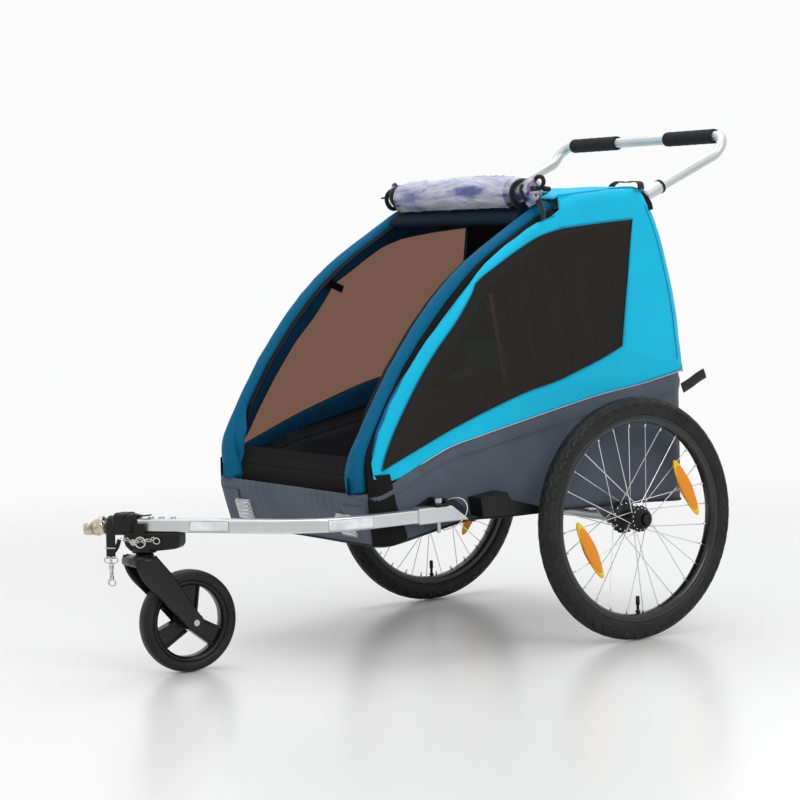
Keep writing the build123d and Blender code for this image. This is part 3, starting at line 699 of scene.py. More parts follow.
def nose_trim():
    """Corner straps, grey corner patches, faceted clear reflectors and the pull tab."""
    for side, word in SIDES:
        def strap_shape(v):
            z = lerp(0.379, 0.2425, v)
            spread = clamp((v - 0.45) / 0.55)
            far = lerp(0.012, 0.042, v) * (1 - 0.9 * clamp((v - 0.93) / 0.07))
            return lerp(-0.032, -0.036, v) - 0.012 * spread, far, z
        piece(patch(f"nose_strap_{word}", strap_shape, 0.0008, 0.0022, black_cloth, side), "chassis",
              "fabric_black")

        def corner_shape(v):
            z = lerp(0.318, 0.2445, v)
            pull = 0.012 * clamp((v - 0.8) / 0.2) ** 2
            return lerp(-0.118, -0.098, v) + pull, -0.041 - pull, z
        piece(patch(f"nose_corner_{word}", corner_shape, 0.0006, 0.0014, grey_cloth, side), "chassis",
              "fabric_grey")
        face = []
        for k in range(9):
            z = lerp(0.2525, 0.2985, k / 8)
            row = []
            for m in range(9):
                s = m / 8
                x = lerp(0.160, 0.2165, s) + 0.005 * (1 - k / 8)
                rim = min(s, 1 - s, k / 8, 1 - k / 8)
                height = 0.0012 + 0.0075 * clamp(rim / 0.14) + 0.0022 * bell(s, 0.62, 0.3)
                skin = tub_skin(-(ARC + HALF_W - CORNER_R - x), z, height)
                row.append(Vector((skin.x * side, skin.y, skin.z)))
            face.append(row)
        lens_piece = thicken(loft(f"front_reflector_{word}", face, clear_lens), 0.002)
        piece(lens_piece, "chassis", "reflector_clear", replaces_on_left(side, "front_reflectors"))
    tab = [(0.280, y, z) for y, z in ((0.204, 0.497), (0.226, 0.506), (0.248, 0.517), (0.268, 0.525))]
    piece(strap("rear_pull_strap", [at(*p) for p in tab], 0.022, 0.0024, web_cloth, (0, -0.55, 1),
                crown=0.0006),
          "chassis", "webbing_black", ["rear_pull_tab"])


# ---- cabin: side panels and windows ----
PANEL_X = 0.2868
PANEL_FRONT = [(-0.120, 0.870), (-0.186, 0.846), (-0.258, 0.804), (-0.309, 0.768), (-0.367, 0.706),
               (-0.409, 0.666), (-0.456, 0.622), (-0.500, 0.566), (-0.537, 0.511), (-0.567, 0.455),
               (-0.584, 0.408), (-0.590, 0.372)]
PANEL_REAR = [(0.206, 0.537), (0.203, 0.560), (0.199, 0.600), (0.187, 0.683), (0.167, 0.763), (0.147, 0.826),
              (0.121, 0.882), (0.097, 0.915)]
PANEL_TOP = [(0.097, 0.915), (0.081, 0.919), (0.0, 0.915), (-0.112, 0.906)]
WINDOW_LOW = [(-0.570, 0.385), (-0.478, 0.423), (-0.381, 0.461), (-0.231, 0.510), (-0.128, 0.534),
              (-0.022, 0.569), (0.037, 0.594)]
WINDOW_REAR = [(0.037, 0.594), (0.054, 0.724), (0.071, 0.854)]
WINDOW_TOP = [(0.071, 0.854), (-0.020, 0.848), (-0.113, 0.840)]
WINDOW_FRONT = [(-0.113, 0.840), (-0.172, 0.826), (-0.227, 0.801), (-0.279, 0.772), (-0.326, 0.742),
                (-0.346, 0.713), (-0.385, 0.664), (-0.435, 0.611), (-0.486, 0.545), (-0.534, 0.471),
                (-0.558, 0.425), (-0.573, 0.385)]


def turned_in(distance, reach):
    """How far fabric has turned in at a distance from its edge, from 0 at reach to 1 at the edge."""
    return 1 - math.sqrt(max(0.0, 1 - (1 - max(distance, 0) / reach) ** 2))


def panel_x(y, z):
    """The side fabric's distance from the middle plane: it rounds over into the roof and the rear."""
    top = height_at([(-0.6, 0.40), (-0.5, 0.60), (-0.37, 0.72), (-0.26, 0.82), (-0.115, 0.895), (0.0, 0.915),
                     (0.097, 0.919)], y) - z
    rear = height_at([(0.537, 0.206), (0.600, 0.199), (0.683, 0.187), (0.763, 0.167), (0.826, 0.147),
                      (0.882, 0.121), (0.919, 0.095)], z) - y
    turned = 0.0
    for distance, reach, depth in ((top, 0.026, 0.015), (rear, 0.020, 0.009)):
        if distance < reach:
            turned += depth * turned_in(distance, reach)
    front = y - height_at([(z0, y0) for y0, z0 in reversed(PANEL_FRONT)], z)
    if z < 0.86 and front < 0.030:
        turned += 0.017 * turned_in(front, 0.030) * clamp((z - 0.372) / 0.03)
    slack = 0.0032 * bell(y, -0.15, 0.28) * bell(z, 0.66, 0.16)
    return PANEL_X - turned - slack + wobble(y, z, 0.3, 11, 0.0012)


def region(name, outer, inner, rings, mat, place, per_side=26):
    """Fabric between two outlines of four matching sides each."""
    def loop(sides):
        line = []
        for edge in sides:
            line += resample([(0, y, z) for y, z in edge], per_side)[:-1]
        return line
    a, b = loop(outer), loop(inner)
    rows = [[place(*p.lerp(q, k / rings).yz) for k in range(rings + 1)] for p, q in zip(a, b)]
    return loft(name, rows, mat, close_ends=True)


def side_fabric(side, word):
    def place(y, z, out=0.0):
        return at(side * (panel_x(y, z) + out), y, z)
    low = [(y, z) for y, z in BORDER if y > -0.57]
    low = [(-0.590, 0.372)] + low
    outer = [low, PANEL_REAR, PANEL_TOP, PANEL_TOP[-1:] + PANEL_FRONT]
    inner = [WINDOW_LOW, WINDOW_REAR, WINDOW_TOP, WINDOW_FRONT]
    panel = thicken(region(f"side_fabric_{word}", outer, inner, 12, cyan_side, place), 0.001, -side)
    centre = Vector((0, -0.13, 0.69))
    core = [[(lerp(centre.y, y, 1e-6), lerp(centre.z, z, 1e-6)) for y, z in edge] for edge in inner]
    glass = region(f"side_glazing_{word}", inner, core, 14, window_vinyl, lambda y, z: place(y, z, -0.0004))
    edging = [place(y, z, 0.0012) for edge in inner for y, z in catmull2(edge)[:-1]]
    hem = sweep(f"window_edging_{word}", edging, circle(0.0011, 6), thread_blue, closed=True)
    crest = [place(y, z, 0.0016) for y, z in catmull2(low[2:])]
    pipe_line = sweep(f"reflective_piping_{word}", crest, circle(0.0011, 8), piping)
    seam_line = [(y - 0.017, z) for y, z in PANEL_REAR[1:-1]]
    seam = sweep(f"rear_seam_{word}", [place(y, z, 0.0004) for y, z in catmull2(seam_line)],
                 circle(0.0009, 6), thread_blue)
    side_pieces = [(panel, "fabric_cyan", [f"side_panel_{word}"]),
                   (glass, "window_vinyl", [f"side_window_{word}"]), (hem, "fabric_cyan", []),
                   (pipe_line, "reflector_clear", []), (seam, "fabric_cyan", [])]
    lining, back_lining = side_lining(side, word, place)
    side_pieces += [(lining, "fabric_dark_blue", []), (back_lining, "fabric_black", [])]
    for obj, slot, stands_for in side_pieces:
        if obj.modifiers:
            applied(obj)
        piece(obj, "chassis", slot, stands_for)
        folds(obj)
    tie = mirrored(side, ((0.250, -0.332, 0.738), (0.262, -0.312, 0.732), (0.2765, -0.276, 0.720)))
    band = piece(strap(f"window_tie_{word}", tie, 0.016, 0.0016, black_cloth, (0, 0.6, 0.8)), "chassis",
                 "fabric_black")
    folds(band)


def side_lining(side, word, place):
    """Dark blue band inside the window opening, along the front edge, the bottom and the top."""
    inset = [(0.037, 0.594), (-0.022, 0.569), (-0.128, 0.534), (-0.231, 0.510), (-0.381, 0.461),
             (-0.478, 0.423), (-0.545, 0.396), (-0.520, 0.428), (-0.496, 0.471), (-0.448, 0.545),
             (-0.398, 0.611), (-0.348, 0.663), (-0.312, 0.708), (-0.296, 0.732), (-0.252, 0.757),
             (-0.208, 0.784), (-0.162, 0.810), (-0.108, 0.826), (-0.020, 0.838), (0.071, 0.846)]
    outer = [(0.060, 0.540), (-0.022, 0.500), (-0.128, 0.480), (-0.231, 0.458), (-0.381, 0.425),
             (-0.478, 0.392), (-0.580, 0.372), (-0.584, 0.408), (-0.568, 0.456), (-0.539, 0.512),
             (-0.499, 0.567), (-0.449, 0.623), (-0.399, 0.665), (-0.357, 0.705), (-0.299, 0.767),
             (-0.248, 0.803), (-0.176, 0.845), (-0.114, 0.868), (-0.020, 0.898), (0.085, 0.900)]
    a, b = [resample([(0, y, z) for y, z in edge], 70) for edge in (outer, inset)]
    rows = [[place(*p.lerp(q, k / 5).yz, -0.0030 - 0.003 * math.sin(math.pi * k / 5)) for k in range(6)]
            for p, q in zip(a, b)]
    behind = []
    for k in range(21):
        z = lerp(0.590, 0.852, k / 20)
        near, far = [height_at([(high, back) for back, high in edge], z)
                     for edge in (WINDOW_REAR, PANEL_REAR)]
        behind.append([place(lerp(near + 0.002, far - 0.012, m / 10), z, -0.0035) for m in range(11)])
    return (thicken(loft(f"side_lining_{word}", rows, lining_cloth), 0.0008, side),
            thicken(loft(f"rear_corner_lining_{word}", behind, black_cloth), 0.0008, side))


def catmull2(line, steps=6):
    """The smooth line through (y, z) points, as (y, z) points."""
    return [p.yz for p in catmull([(0, y, z) for y, z in line], steps)]


def folds(obj):
    """Gives the piece a mesh of its own."""
    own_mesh(obj)


# ---- cage sleeves, front cover ----
CAGE_X = 0.241
CAGE_LINE = [(-0.584, 0.322), (-0.602, 0.402), (-0.505, 0.575), (-0.360, 0.745), (-0.110, 0.893),
             (0.075, 0.898)]
CAGE_RADII = [0.090, 0.900, 0.640, 0.230]


def cage(x, low_z, rear_y, recess=0.0, count=90):
    """The cage tube's line at x, from a height to a place under the roof, moved inwards by recess."""
    line = rounded([(x, y, z) for y, z in CAGE_LINE], CAGE_RADII)
    line = [p for p in resample(line, 400) if p.z >= low_z and p.y <= rear_y]
    out = []
    for p, t in zip(line, tangents(line)):
        out.append(at(p.x, p.y + t.z * recess, p.z - t.y * recess))
    return resample(out, count)


def sleeve(side, word):
    path = cage(side * CAGE_X, 0.342, -0.112)
    rows = []
    for i, (p, t) in enumerate(zip(path, tangents(path))):
        share = i / (len(path) - 1)
        flare = bell(share, 0, 0.085)
        full = clamp((0.85 - share) / 0.35)
        normal = Vector((0, -t.z, t.y))
        shift = 0.001 + 0.002 * full - 0.015 * flare
        middle = p + Vector((side * shift, 0, 0)) + normal * 0.001
        wide = 0.0152 + 0.0012 * full + 0.015 * flare + wobble(share * 3, side, 0, 9, 0.0008)
        deep = 0.0138 + 0.0008 * full
        ring = []
        for angle in turns(28):
            c, s = math.cos(angle), math.sin(angle)
            ripple = 1 + wobble(c, s + share * 14, side, 2.2, 0.035)
            ring.append(middle + Vector((c * wide * ripple, 0, 0)) + normal * s * deep * ripple)
        rows.append(ring)
    cover_tube = block(f"sleeve_{word}", rows, sleeve_cloth)
    piece(cover_tube, "roll_cage", "fabric_dark_blue", [f"cage_sleeve_{word}"])


def gap_strip(side, word):
    """Black fabric from the sleeve's outer side back to the side panel's front edge."""
    edge = resample([(0, y, z) for y, z in catmull2(PANEL_FRONT)][::-1], 60)
    inner = cage(side * 0.2555, 0.352, -0.133, recess=0.003, count=60)
    rows = []
    for p, q in zip(inner, edge):
        far = at(side * (panel_x(q.y, q.z) - 0.0012), q.y + 0.007, q.z)
        rows.append([p.lerp(far, k / 5) + Vector((0, -0.004, 0.003)) * math.sin(math.pi * k / 5)
                     for k in range(6)])
    strip = fabric(f"gap_strip_{word}", rows, black_cloth, 0.0014)
    piece(strip, "chassis", "fabric_black")
    folds(strip)


COVER_HALF_W = 0.2225
COVER_OUT = Vector((0, -0.76, 0.65))       # straight out of the front cover
KICK_RECESS = 0.020        # the lower black panel sits back from the cage tubes by this much


def cover():
    """Insect mesh with a black lower panel, zips beside the sleeves, and the hem that lifts."""
    path = resample([Vector((0, *at(0, -0.6075, 0.366).yz))] + cage(0, 0.395, -0.138), 84)
    path = [p + Vector((0, KICK_RECESS * clamp((at(0, 0, 0.500).z - p.z) / 0.110), 0)) for p in path]
    split = 5
    def row(p, i, out=0.0):
        share = i / (len(path) - 1)
        sag = 0.007 * math.sin(math.pi * clamp(share * 1.1))
        line = []
        for u in shares(16):
            dip = sag * (1 - u * u) - out
            line.append(Vector((u * COVER_HALF_W, p.y, p.z)) - COVER_OUT * dip)
        return line
    mesh_rows = [row(p, i) for i, p in enumerate(path) if i >= split]
    mesh_piece = loft("front_mesh", mesh_rows, mesh_cloth)
    kick_rows = [row(p, i, 0.0008) for i, p in enumerate(path) if i <= split]
    kick = fabric("front_kick_panel", kick_rows, black_cloth)
    piece(mesh_piece, "roll_cage", "mesh_black", ["front_mesh_cover"])
    piece(kick, "roll_cage", "fabric_black")
    header_rows = [row(p, i, 0.0008) for i, p in enumerate(path) if i >= len(path) - 5]
    header = fabric("cover_header", header_rows, black_cloth)
    piece(header, "roll_cage", "fabric_black")
    rolled = [mesh_piece, kick, header]
    for side, word in SIDES:
        rows = [[Vector((side * x, p.y, p.z)) + COVER_OUT * 0.0022 for x in (0.207, 0.212, 0.219, 0.2265)]
                for p in path]
        zip_tape = fabric(f"cover_zip_{word}", rows, black_cloth)
        piece(zip_tape, "roll_cage", "fabric_black")
        rolled.append(zip_tape)
        gusset_top = at(0, 0, 0.492).z
        front = resample(cage(side * 0.236, 0.372, -0.133), 200)
        rows = []
        for p in path:
            if p.z > gusset_top:
                break
            q = min(front, key=lambda f: abs(f.z - p.z))
            outer = Vector((side * 0.234, q.y - 0.0095, p.z))
            inner = Vector((side * 0.2045, p.y - 0.0024, p.z + 0.001))
            inner = outer.lerp(inner, clamp(0.25 + (gusset_top - p.z) / 0.070))
            rows.append([outer.lerp(inner, m / 6) for m in range(7)])
        gusset = fabric(f"cover_gusset_{word}", rows, sleeve_cloth)
        piece(gusset, "roll_cage", "fabric_dark_blue")
        rows = [[at(side * lerp(0.234, 0.2045 - 0.006 * (1 - k / 6), m / 6),
                    lerp(-0.6165, -0.6125 + KICK_RECESS, m / 6),
                    lerp(0.340, 0.373, k / 6) - 0.004 * m / 6) for m in range(7)] for k in range(7)]
        corner = fabric(f"hem_gusset_{word}", rows, sleeve_cloth)
        piece(corner, "roll_cage", "fabric_dark_blue")
    for obj in rolled:
        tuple(path[-1])
        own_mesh(obj)
    rows = []
    for u in shares(24):
        x = u * 0.2235
        low = 0.322 + 0.016 * abs(u) ** 2.6 + 0.004 * bell(x, -0.10, 0.08)
        rows.append([at(x, KICK_RECESS - 0.6085 - 0.0016 * math.sin(math.pi * m / 8)
                        + wobble(x, m, 0, 9, 0.0008), lerp(0.371, low, m / 8)) for m in range(9)])
    hem = fabric("cover_hem_band", rows, black_cloth, 0.0016)
    piece(hem, "front_cover_hem", "fabric_black", ["cover_hem"])


# ---- roof and rear ----
ROOF_HALF_W = 0.2722
ROOF_EDGE = [(-0.112, 0.906), (0.0, 0.915), (0.081, 0.9195), (0.097, 0.9165)]


def roof():
    """Cyan roof from the front cover back to the rear panel, slightly crowned, with its two seams."""
    rows = []
    stations = [(-0.124, 0.899), (-0.112, 0.905)]
    stations += [(lerp(-0.112, 0.097, k / 14), 0) for k in range(1, 15)]
    for y, z in stations:
        edge = z or height_at(ROOF_EDGE, y)
        row = []
        for u in shares(20):
            crown = 0.0045 * (1 - u ** 4) * clamp((y + 0.19) / 0.1)
            row.append(at(u * ROOF_HALF_W, y, edge + crown + wobble(u * 0.3, y, 0, 14, 0.0012)))
        rows.append(row)
    sheet = thicken(loft("roof_sheet", rows, cyan_roof), 0.001, -1)
    piece(applied(sheet), "roll_cage", "fabric_cyan", ["roof_fabric"])
    band = [[at(u / 20 * 0.2250, y, z + 0.0035 * (1 - (u / 20) ** 4)) for u in range(-20, 21)]
            for y, z in ((-0.1802, 0.8480), (-0.1815, 0.8590), (-0.1770, 0.8690), (-0.1680, 0.8745),
                         (-0.155, 0.8805), (-0.138, 0.8885), (-0.124, 0.9003), (-0.112, 0.9075),
                         (-0.098, 0.9125))]
    # the band and the tube below wear the darkened navy, painted shade under the roll
    front_band = fabric("roof_front_band", band, shaded_header_cloth)
    piece(front_band, "roll_cage", "fabric_dark_blue")
    tube_line = [at(x, -0.168, 0.859) for x in (-0.236, -0.1, 0.0, 0.1, 0.236)]
    piece(pipe("cross_tube_sleeve", tube_line, 0.0106, shaded_header_cloth, 8, 20), "roll_cage", "fabric_black")
    for side, word in SIDES:
        line = [at(side * ROOF_HALF_W, y, height_at(ROOF_EDGE, y) + 0.0005)
                for y in spaced(-0.112, 0.095, 20)]
        piece(sweep(f"roof_seam_{word}", line, circle(0.0015, 8), cyan_roof), "roll_cage", "fabric_cyan")
        loop = [at(side * x, 0.090, z) for x, z in ((0.200, 0.9185), (0.203, 0.9255), (0.222, 0.9325),
                                                    (0.246, 0.9300), (0.272, 0.9315), (0.290, 0.928),
                                                    (0.294, 0.914))]
        piece(strap(f"carry_loop_{word}", loop, 0.018, 0.0018, web_cloth, (0, 1, 0)), "roll_cage",
              "webbing_black", replaces_on_left(side, "roof_carry_loops"))
        trim = [at(side * x, 0.103 + dy, z) for x, dy, z in ((0.255, -0.004, 0.9165), (0.270, 0.000, 0.9125),
                                                             (0.281, 0.008, 0.900), (0.2865, 0.016, 0.884),
                                                             (0.2872, 0.018, 0.872))]
        folds(piece(strap(f"corner_trim_{word}", trim, 0.012, 0.0018, black_cloth, (0, 1, 0.5)), "chassis",
                    "fabric_black"))


def rear():
    """Rear fabric from the tub up to the roof, with a zipped boot flap and a reflective strip."""
    line = [(0.2085, 0.532), (0.2035, 0.560), (0.199, 0.600), (0.187, 0.683), (0.167, 0.763), (0.147, 0.826),
            (0.123, 0.880), (0.101, 0.914)]
    back = [(z, y) for y, z in line]
    rows = []
    for y, z in catmull2(line, 5):
        rows.append([at(u * 0.2772, y - 0.004 * (1 - u ** 6) + wobble(u * 0.28, z, 2, 9, 0.0022), z)
                     for u in shares(20)])
    panel = fabric("rear_fabric", rows, cyan_rear, 0.001)
    parts = [(panel, "fabric_cyan", ["rear_panel"])]
    flap = [(-0.215, 0.575), (-0.215, 0.80), (-0.19, 0.825), (0.19, 0.825), (0.215, 0.80), (0.215, 0.575)]
    path = [Vector((x, 0, z)) for x, z in flap]
    track = resample(rounded(path, [0.02, 0.02, 0.02, 0.02]), 90)
    zipper = [at(p.x, height_at(back, p.z) + 0.0022, p.z) for p in track]
    def zip_side(i):
        return (zipper[min(i + 1, 89)] - zipper[max(i - 1, 0)]).cross(Vector((0, 1, 0.2)))
    boot_zip = sweep("boot_zip", zipper, webbing(0.009, 0.0022), black_cloth, side=zip_side)
    parts.append((boot_zip, "fabric_black", []))
    strip = [[at(x, height_at(back, z) + 0.0012, z) for z in (0.610, 0.617, 0.624)]
             for x in spaced(-0.16, 0.16, 20)]
    parts.append((fabric("rear_reflective_strip", strip, piping, 0.0008, 1), "reflector_clear", []))
    for obj, slot, stands_for in parts:
        if stands_for:
            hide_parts(*stands_for)
        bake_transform(obj)


def cabin():
    tub()
    nose_trim()
    for side, word in SIDES:
        side_fabric(side, word)
        sleeve(side, word)
        gap_strip(side, word)
    cover()
    roof()
    rear()


cabin()


# ---- wheels ----
SPOKES, RIM_R, BEAD_R, TYRE_R = 28, 0.1955, 0.208, 0.0225
TREAD_PITCHES, TREAD_DEPTH = 52, 0.0026
BEAD_ANGLE, TREAD_ANGLE = 2.42, 1.25       # radians each way from the middle of the tread


def tyre_tread(angle, across):
    """How far the tread stands out of the casing: zigzag centre ribs and raked shoulder lugs."""
    phase = (angle * TREAD_PITCHES / (2 * math.pi)) % 1
    wave = 0.30 * (abs(phase * 2 - 1) * 2 - 1)
    u = abs(across)
    sign = 1 if across > 0 else -1
    groove = min(abs(across - wave * 0.55), abs(u - 0.52 - wave * sign * 0.35))
    lug = abs(((phase + u * 0.55 * sign) % 1) - 0.5)
    depth = 1 - 0.9 * clamp(1.3 - groove / 0.07)
    if 0.5 < u < 0.98:
        depth *= 1 - 0.95 * clamp((0.16 - lug) / 0.05)
    shoulder = 1.02 + 0.14 * (abs(phase * 2 - 1) * 2 - 1)
    return TREAD_DEPTH * depth * clamp((shoulder - u) / 0.05)


def tyre(word, side):
    centre_r = WHEEL_R - TYRE_R - 0.0004
    rows = []
    columns, ring = TREAD_PITCHES * 14, 57
    for angle in turns(columns):
        row = []
        for k in range(ring):
            turn = lerp(-BEAD_ANGLE, BEAD_ANGLE, k / (ring - 1))
            across = turn / TREAD_ANGLE
            r = TYRE_R - TREAD_DEPTH + tyre_tread(angle, across) + 0.0006 * bell(abs(turn), 2.0, 0.08)
            out = centre_r + r * math.cos(turn)
            row.append(at(side * TRACK_X + r * 0.97 * math.sin(turn), out * math.cos(angle),
                          WHEEL_R + out * math.sin(angle)))
        rows.append(row)
    made = loft(f"tyre_tread_{word}", rows, tyre_rubber, close_ends=True)
    for poly in made.data.polygons:
        poly.use_smooth = True
    piece(made, f"{word}_wheel", "tyre_rubber", [f"tyre_{word}"])


def rim(word, side):
    half = [(-0.0125, BEAD_R + 0.003), (-0.0138, BEAD_R + 0.0035), (-0.0145, BEAD_R + 0.002),
            (-0.0140, RIM_R + 0.0070), (-0.0128, RIM_R + 0.0040), (-0.0080, RIM_R + 0.0004),
            (-0.0030, RIM_R - 0.0006)]
    profile = half + [(-d, r) for d, r in reversed(half)] + [(0.010, BEAD_R - 0.004),
                                                             (-0.010, BEAD_R - 0.004)]
    centre = at(side * TRACK_X, 0, WHEEL_R)
    parts = [lathe(f"rim_{word}_hoop", profile + profile[:1], centre, (1, 0, 0), rim_paint, 160)]
    for k in range(SPOKES):
        angle = spoke_angle(k)
        foot = centre + Vector((0, math.cos(angle), math.sin(angle))) * (RIM_R - 0.0005)
        parts.append(pipe(f"nipple_{k}", [foot, foot - (foot - centre).normalized() * 0.009], 0.0019,
                          spoke_metal, 1, 8))
    low = centre - Vector((0, 0, RIM_R))
    stem = [(0, 0.0028), (0.004, 0.0055), (0.006, 0.0055), (0.0065, 0.0030), (0.018, 0.0030),
            (0.0185, 0.0044), (0.034, 0.0040), (0.036, 0.0028), (0.036, 0.0)]
    parts.append(lathe(f"valve_{word}_stem", stem, low, (0, 0, 1), black_plastic, 16))
    piece(joined(f"rim_hoop_{word}", parts), f"{word}_wheel", "rim_black", [f"rim_{word}"])


def spoke_angle(k):
    return math.radians(360 / SPOKES * k + 4)


def hub(word, side):
    """Turned shell with two drilled flanges; the inner one is toothed like the adaptor beside it."""
    centre = at(side * TRACK_X, 0, WHEEL_R)
    shell = [(-0.053, 0.0062), (-0.053, 0.0140), (-0.046, 0.0150), (-0.0435, 0.0310), (-0.0415, 0.0325),
             (-0.0345, 0.0325), (-0.0335, 0.0240), (-0.026, 0.0165), (-0.008, 0.0148), (0.004, 0.0165),
             (0.0085, 0.0240), (0.0092, 0.0262), (0.0148, 0.0262), (0.0156, 0.0225), (0.019, 0.0205),
             (0.0225, 0.0195), (0.0235, 0.0172), (0.0300, 0.0170), (0.0308, 0.0160), (0.0310, 0.0114),
             (0.0188, 0.0113), (0.0186, 0.0062)]
    def teeth(angle, d, r):
        if r > 0.03 and d < -0.03:
            return 0.0018 * (1 if math.sin(angle * 18) > 0 else -1)
        if 0.0255 < r and d > 0:
            return 0.0008 * math.sin(angle * SPOKES / 2)
        return 0.0
    parts = [lathe(f"hub_{word}_shell", shell, centre, (side, 0, 0), black_plastic, 180, teeth)]
    for k in range(SPOKES // 2):
        for d, r in ((0.0152, 0.0212), (-0.0340, 0.0275)):
            angle = 2 * math.pi * (k + 0.3) / (SPOKES // 2)
            spot = centre + Vector((side * d, r * math.cos(angle), r * math.sin(angle)))
            parts.append(pipe(f"spoke_head_{k}_{d > 0}", [spot, spot + Vector((side * 0.0022, 0, 0))], 0.0021,
                              spoke_metal, 1, 8))
    piece(joined(f"hub_shell_{word}", parts), f"{word}_wheel", "black_plastic", [f"hub_{word}"])
    cap = [(0.0240, 0.0), (0.0240, 0.0108), (0.0345, 0.0108), (0.0375, 0.0098), (0.0388, 0.0075),
           (0.0382, 0.0050), (0.0378, 0.0)]
    piece(lathe(f"button_cap_{word}", cap, centre, (side, 0, 0), black_plastic, 40), f"{word}_hub_button",
          "black_plastic", [f"hub_button_{word}"])


REFLECTOR_LEAN = math.radians(6)


def spoke_reflector(word, side, k, turn):
    """Boat-shaped amber reflector with yellow tips, clipped across the spokes."""
    centre = at(side * (TRACK_X + 0.0085), 0, WHEEL_R)
    parts = []
    for name, mat, length, width, thick in (("frame", yellow, 0.067, 0.0142, 0.0028),
                                            ("lens", amber, 0.0545, 0.0146, 0.0040)):
        ring = []
        for a in turns(48):
            c, s = math.cos(a), math.sin(a)
            ring.append((length * power(c, 0.85), width * power(s, 0.9) * (1 - 0.25 * abs(c))))
        rows = []
        for d, grow in ((-thick, 0.90), (-thick * 0.8, 0.98), (0, 1), (thick * 0.8, 0.98), (thick, 0.90)):
            row = []
            for along, across in ring:
                y = 0.139 + (across * math.cos(REFLECTOR_LEAN) - along * math.sin(REFLECTOR_LEAN)) * grow
                z = (across * math.sin(REFLECTOR_LEAN) + along * math.cos(REFLECTOR_LEAN)) * grow
                row.append(centre + Vector((d, y * math.cos(turn) - z * math.sin(turn),
                                            y * math.sin(turn) + z * math.cos(turn))))
            rows.append(row)
        parts.append(block(f"reflector_{word}_{k}_{name}", rows, mat))
    obj = joined(f"spoke_reflector_{word}_{k}", parts)
    if side < 0:
        pivot = at(side * TRACK_X, 0, 0)
        for v in obj.data.vertices:
            v.co.y = 2 * pivot.y - v.co.y
        obj.data.flip_normals()
    return obj


def wheels():
    for side, word in SIDES:
        tyre(word, side)
        rim(word, side)
        hub(word, side)
        for k in range(2):
            turn = math.radians(22 + 180 * k)
            piece(spoke_reflector(word, side, k, turn), f"{word}_wheel", "reflector_amber",
                  [f"spoke_reflectors_{word}"] if k == 0 else [])


# ---- tow arm, coupler and caster ----
HEADING = math.radians(52)
STEM = (0.018, -0.944)
ARM_DIR = Vector((-math.sin(HEADING), -math.cos(HEADING), 0))
ARM_SIDE = Vector((math.cos(HEADING), -math.sin(HEADING), 0))
ARM_Z, ARM_H, ARM_X, BEND_R, ARM_TIP = 0.295, 0.026, 0.308, 0.210, 0.048


def by_arm(s, side=0.0, z=ARM_Z):
    """A place s metres past the caster's stem along the arm's front run."""
    return at(STEM[0], STEM[1], z) + ARM_DIR * s + ARM_SIDE * side


def along_arm(places):
    return [by_arm(s, side, z) for s, side, z in places]


def arm_line():
    """The arm's centre line from its front tip back round the bend and along the trailer's side."""
    straight = (ARM_X - STEM[0] - BEND_R * (1 - math.cos(HEADING))) / math.sin(HEADING)
    bend_y = STEM[1] + BEND_R * math.sin(HEADING) + straight * math.cos(HEADING)
    corner = at(ARM_X, bend_y - BEND_R * math.tan(HEADING / 2), ARM_Z)
    return rounded([by_arm(ARM_TIP), corner, at(ARM_X, -0.52, ARM_Z)], [BEND_R], math.radians(2))


def arm_labels():
    """Two blank film labels on the arm's outer face."""
    line = resample(arm_line(), 400)
    run = sum((b - a).length for a, b in zip(line, line[1:]))
    step = run / 399
    for name, start, end, half in (("front", ARM_TIP + 0.101, ARM_TIP + 0.182, 0.0098),
                                   ("rear", 0.418, 0.505, 0.0105)):
        span = line[int(start / step):int(end / step)]
        rows = []
        for p, t in zip(span, tangents(span)):
            out = Vector((-t.y, t.x, 0)) * (1 if -t.y > 0 or t.x < 0 else -1)
            if out.dot(ARM_SIDE + Vector((0.4, 0, 0))) < 0:
                out = -out
            rows.append([p + out * (ARM_H / 2 + 0.0003) + Vector((0, 0, lerp(half, -half, k / 4)))
                         for k in range(5)])
        piece(thicken(loft(f"blank_label_{name}", rows, label_film), 0.0003, 1), "chassis", "frame_aluminium")
        loop = [row[0] for row in rows] + [row[-1] for row in reversed(rows)]
        piece(sweep(f"label_border_{name}", loop, circle(0.0004, 6), thread_dark, closed=True), "chassis",
              "black_plastic")
    plug = [by_arm(ARM_TIP - 0.004), by_arm(ARM_TIP + 0.0035)]
    half = ARM_H / 2 + 0.0006
    corners = ((-1, -0.7), (-0.7, -1), (0.7, -1), (1, -0.7), (1, 0.7), (0.7, 1), (-0.7, 1), (-1, 0.7))
    cap = sweep("arm_end_cap", plug, lambda i, share: [(a * half, b * half) for a, b in corners],
                black_plastic, side=ARM_SIDE)
    piece(cap, "chassis", "black_plastic")


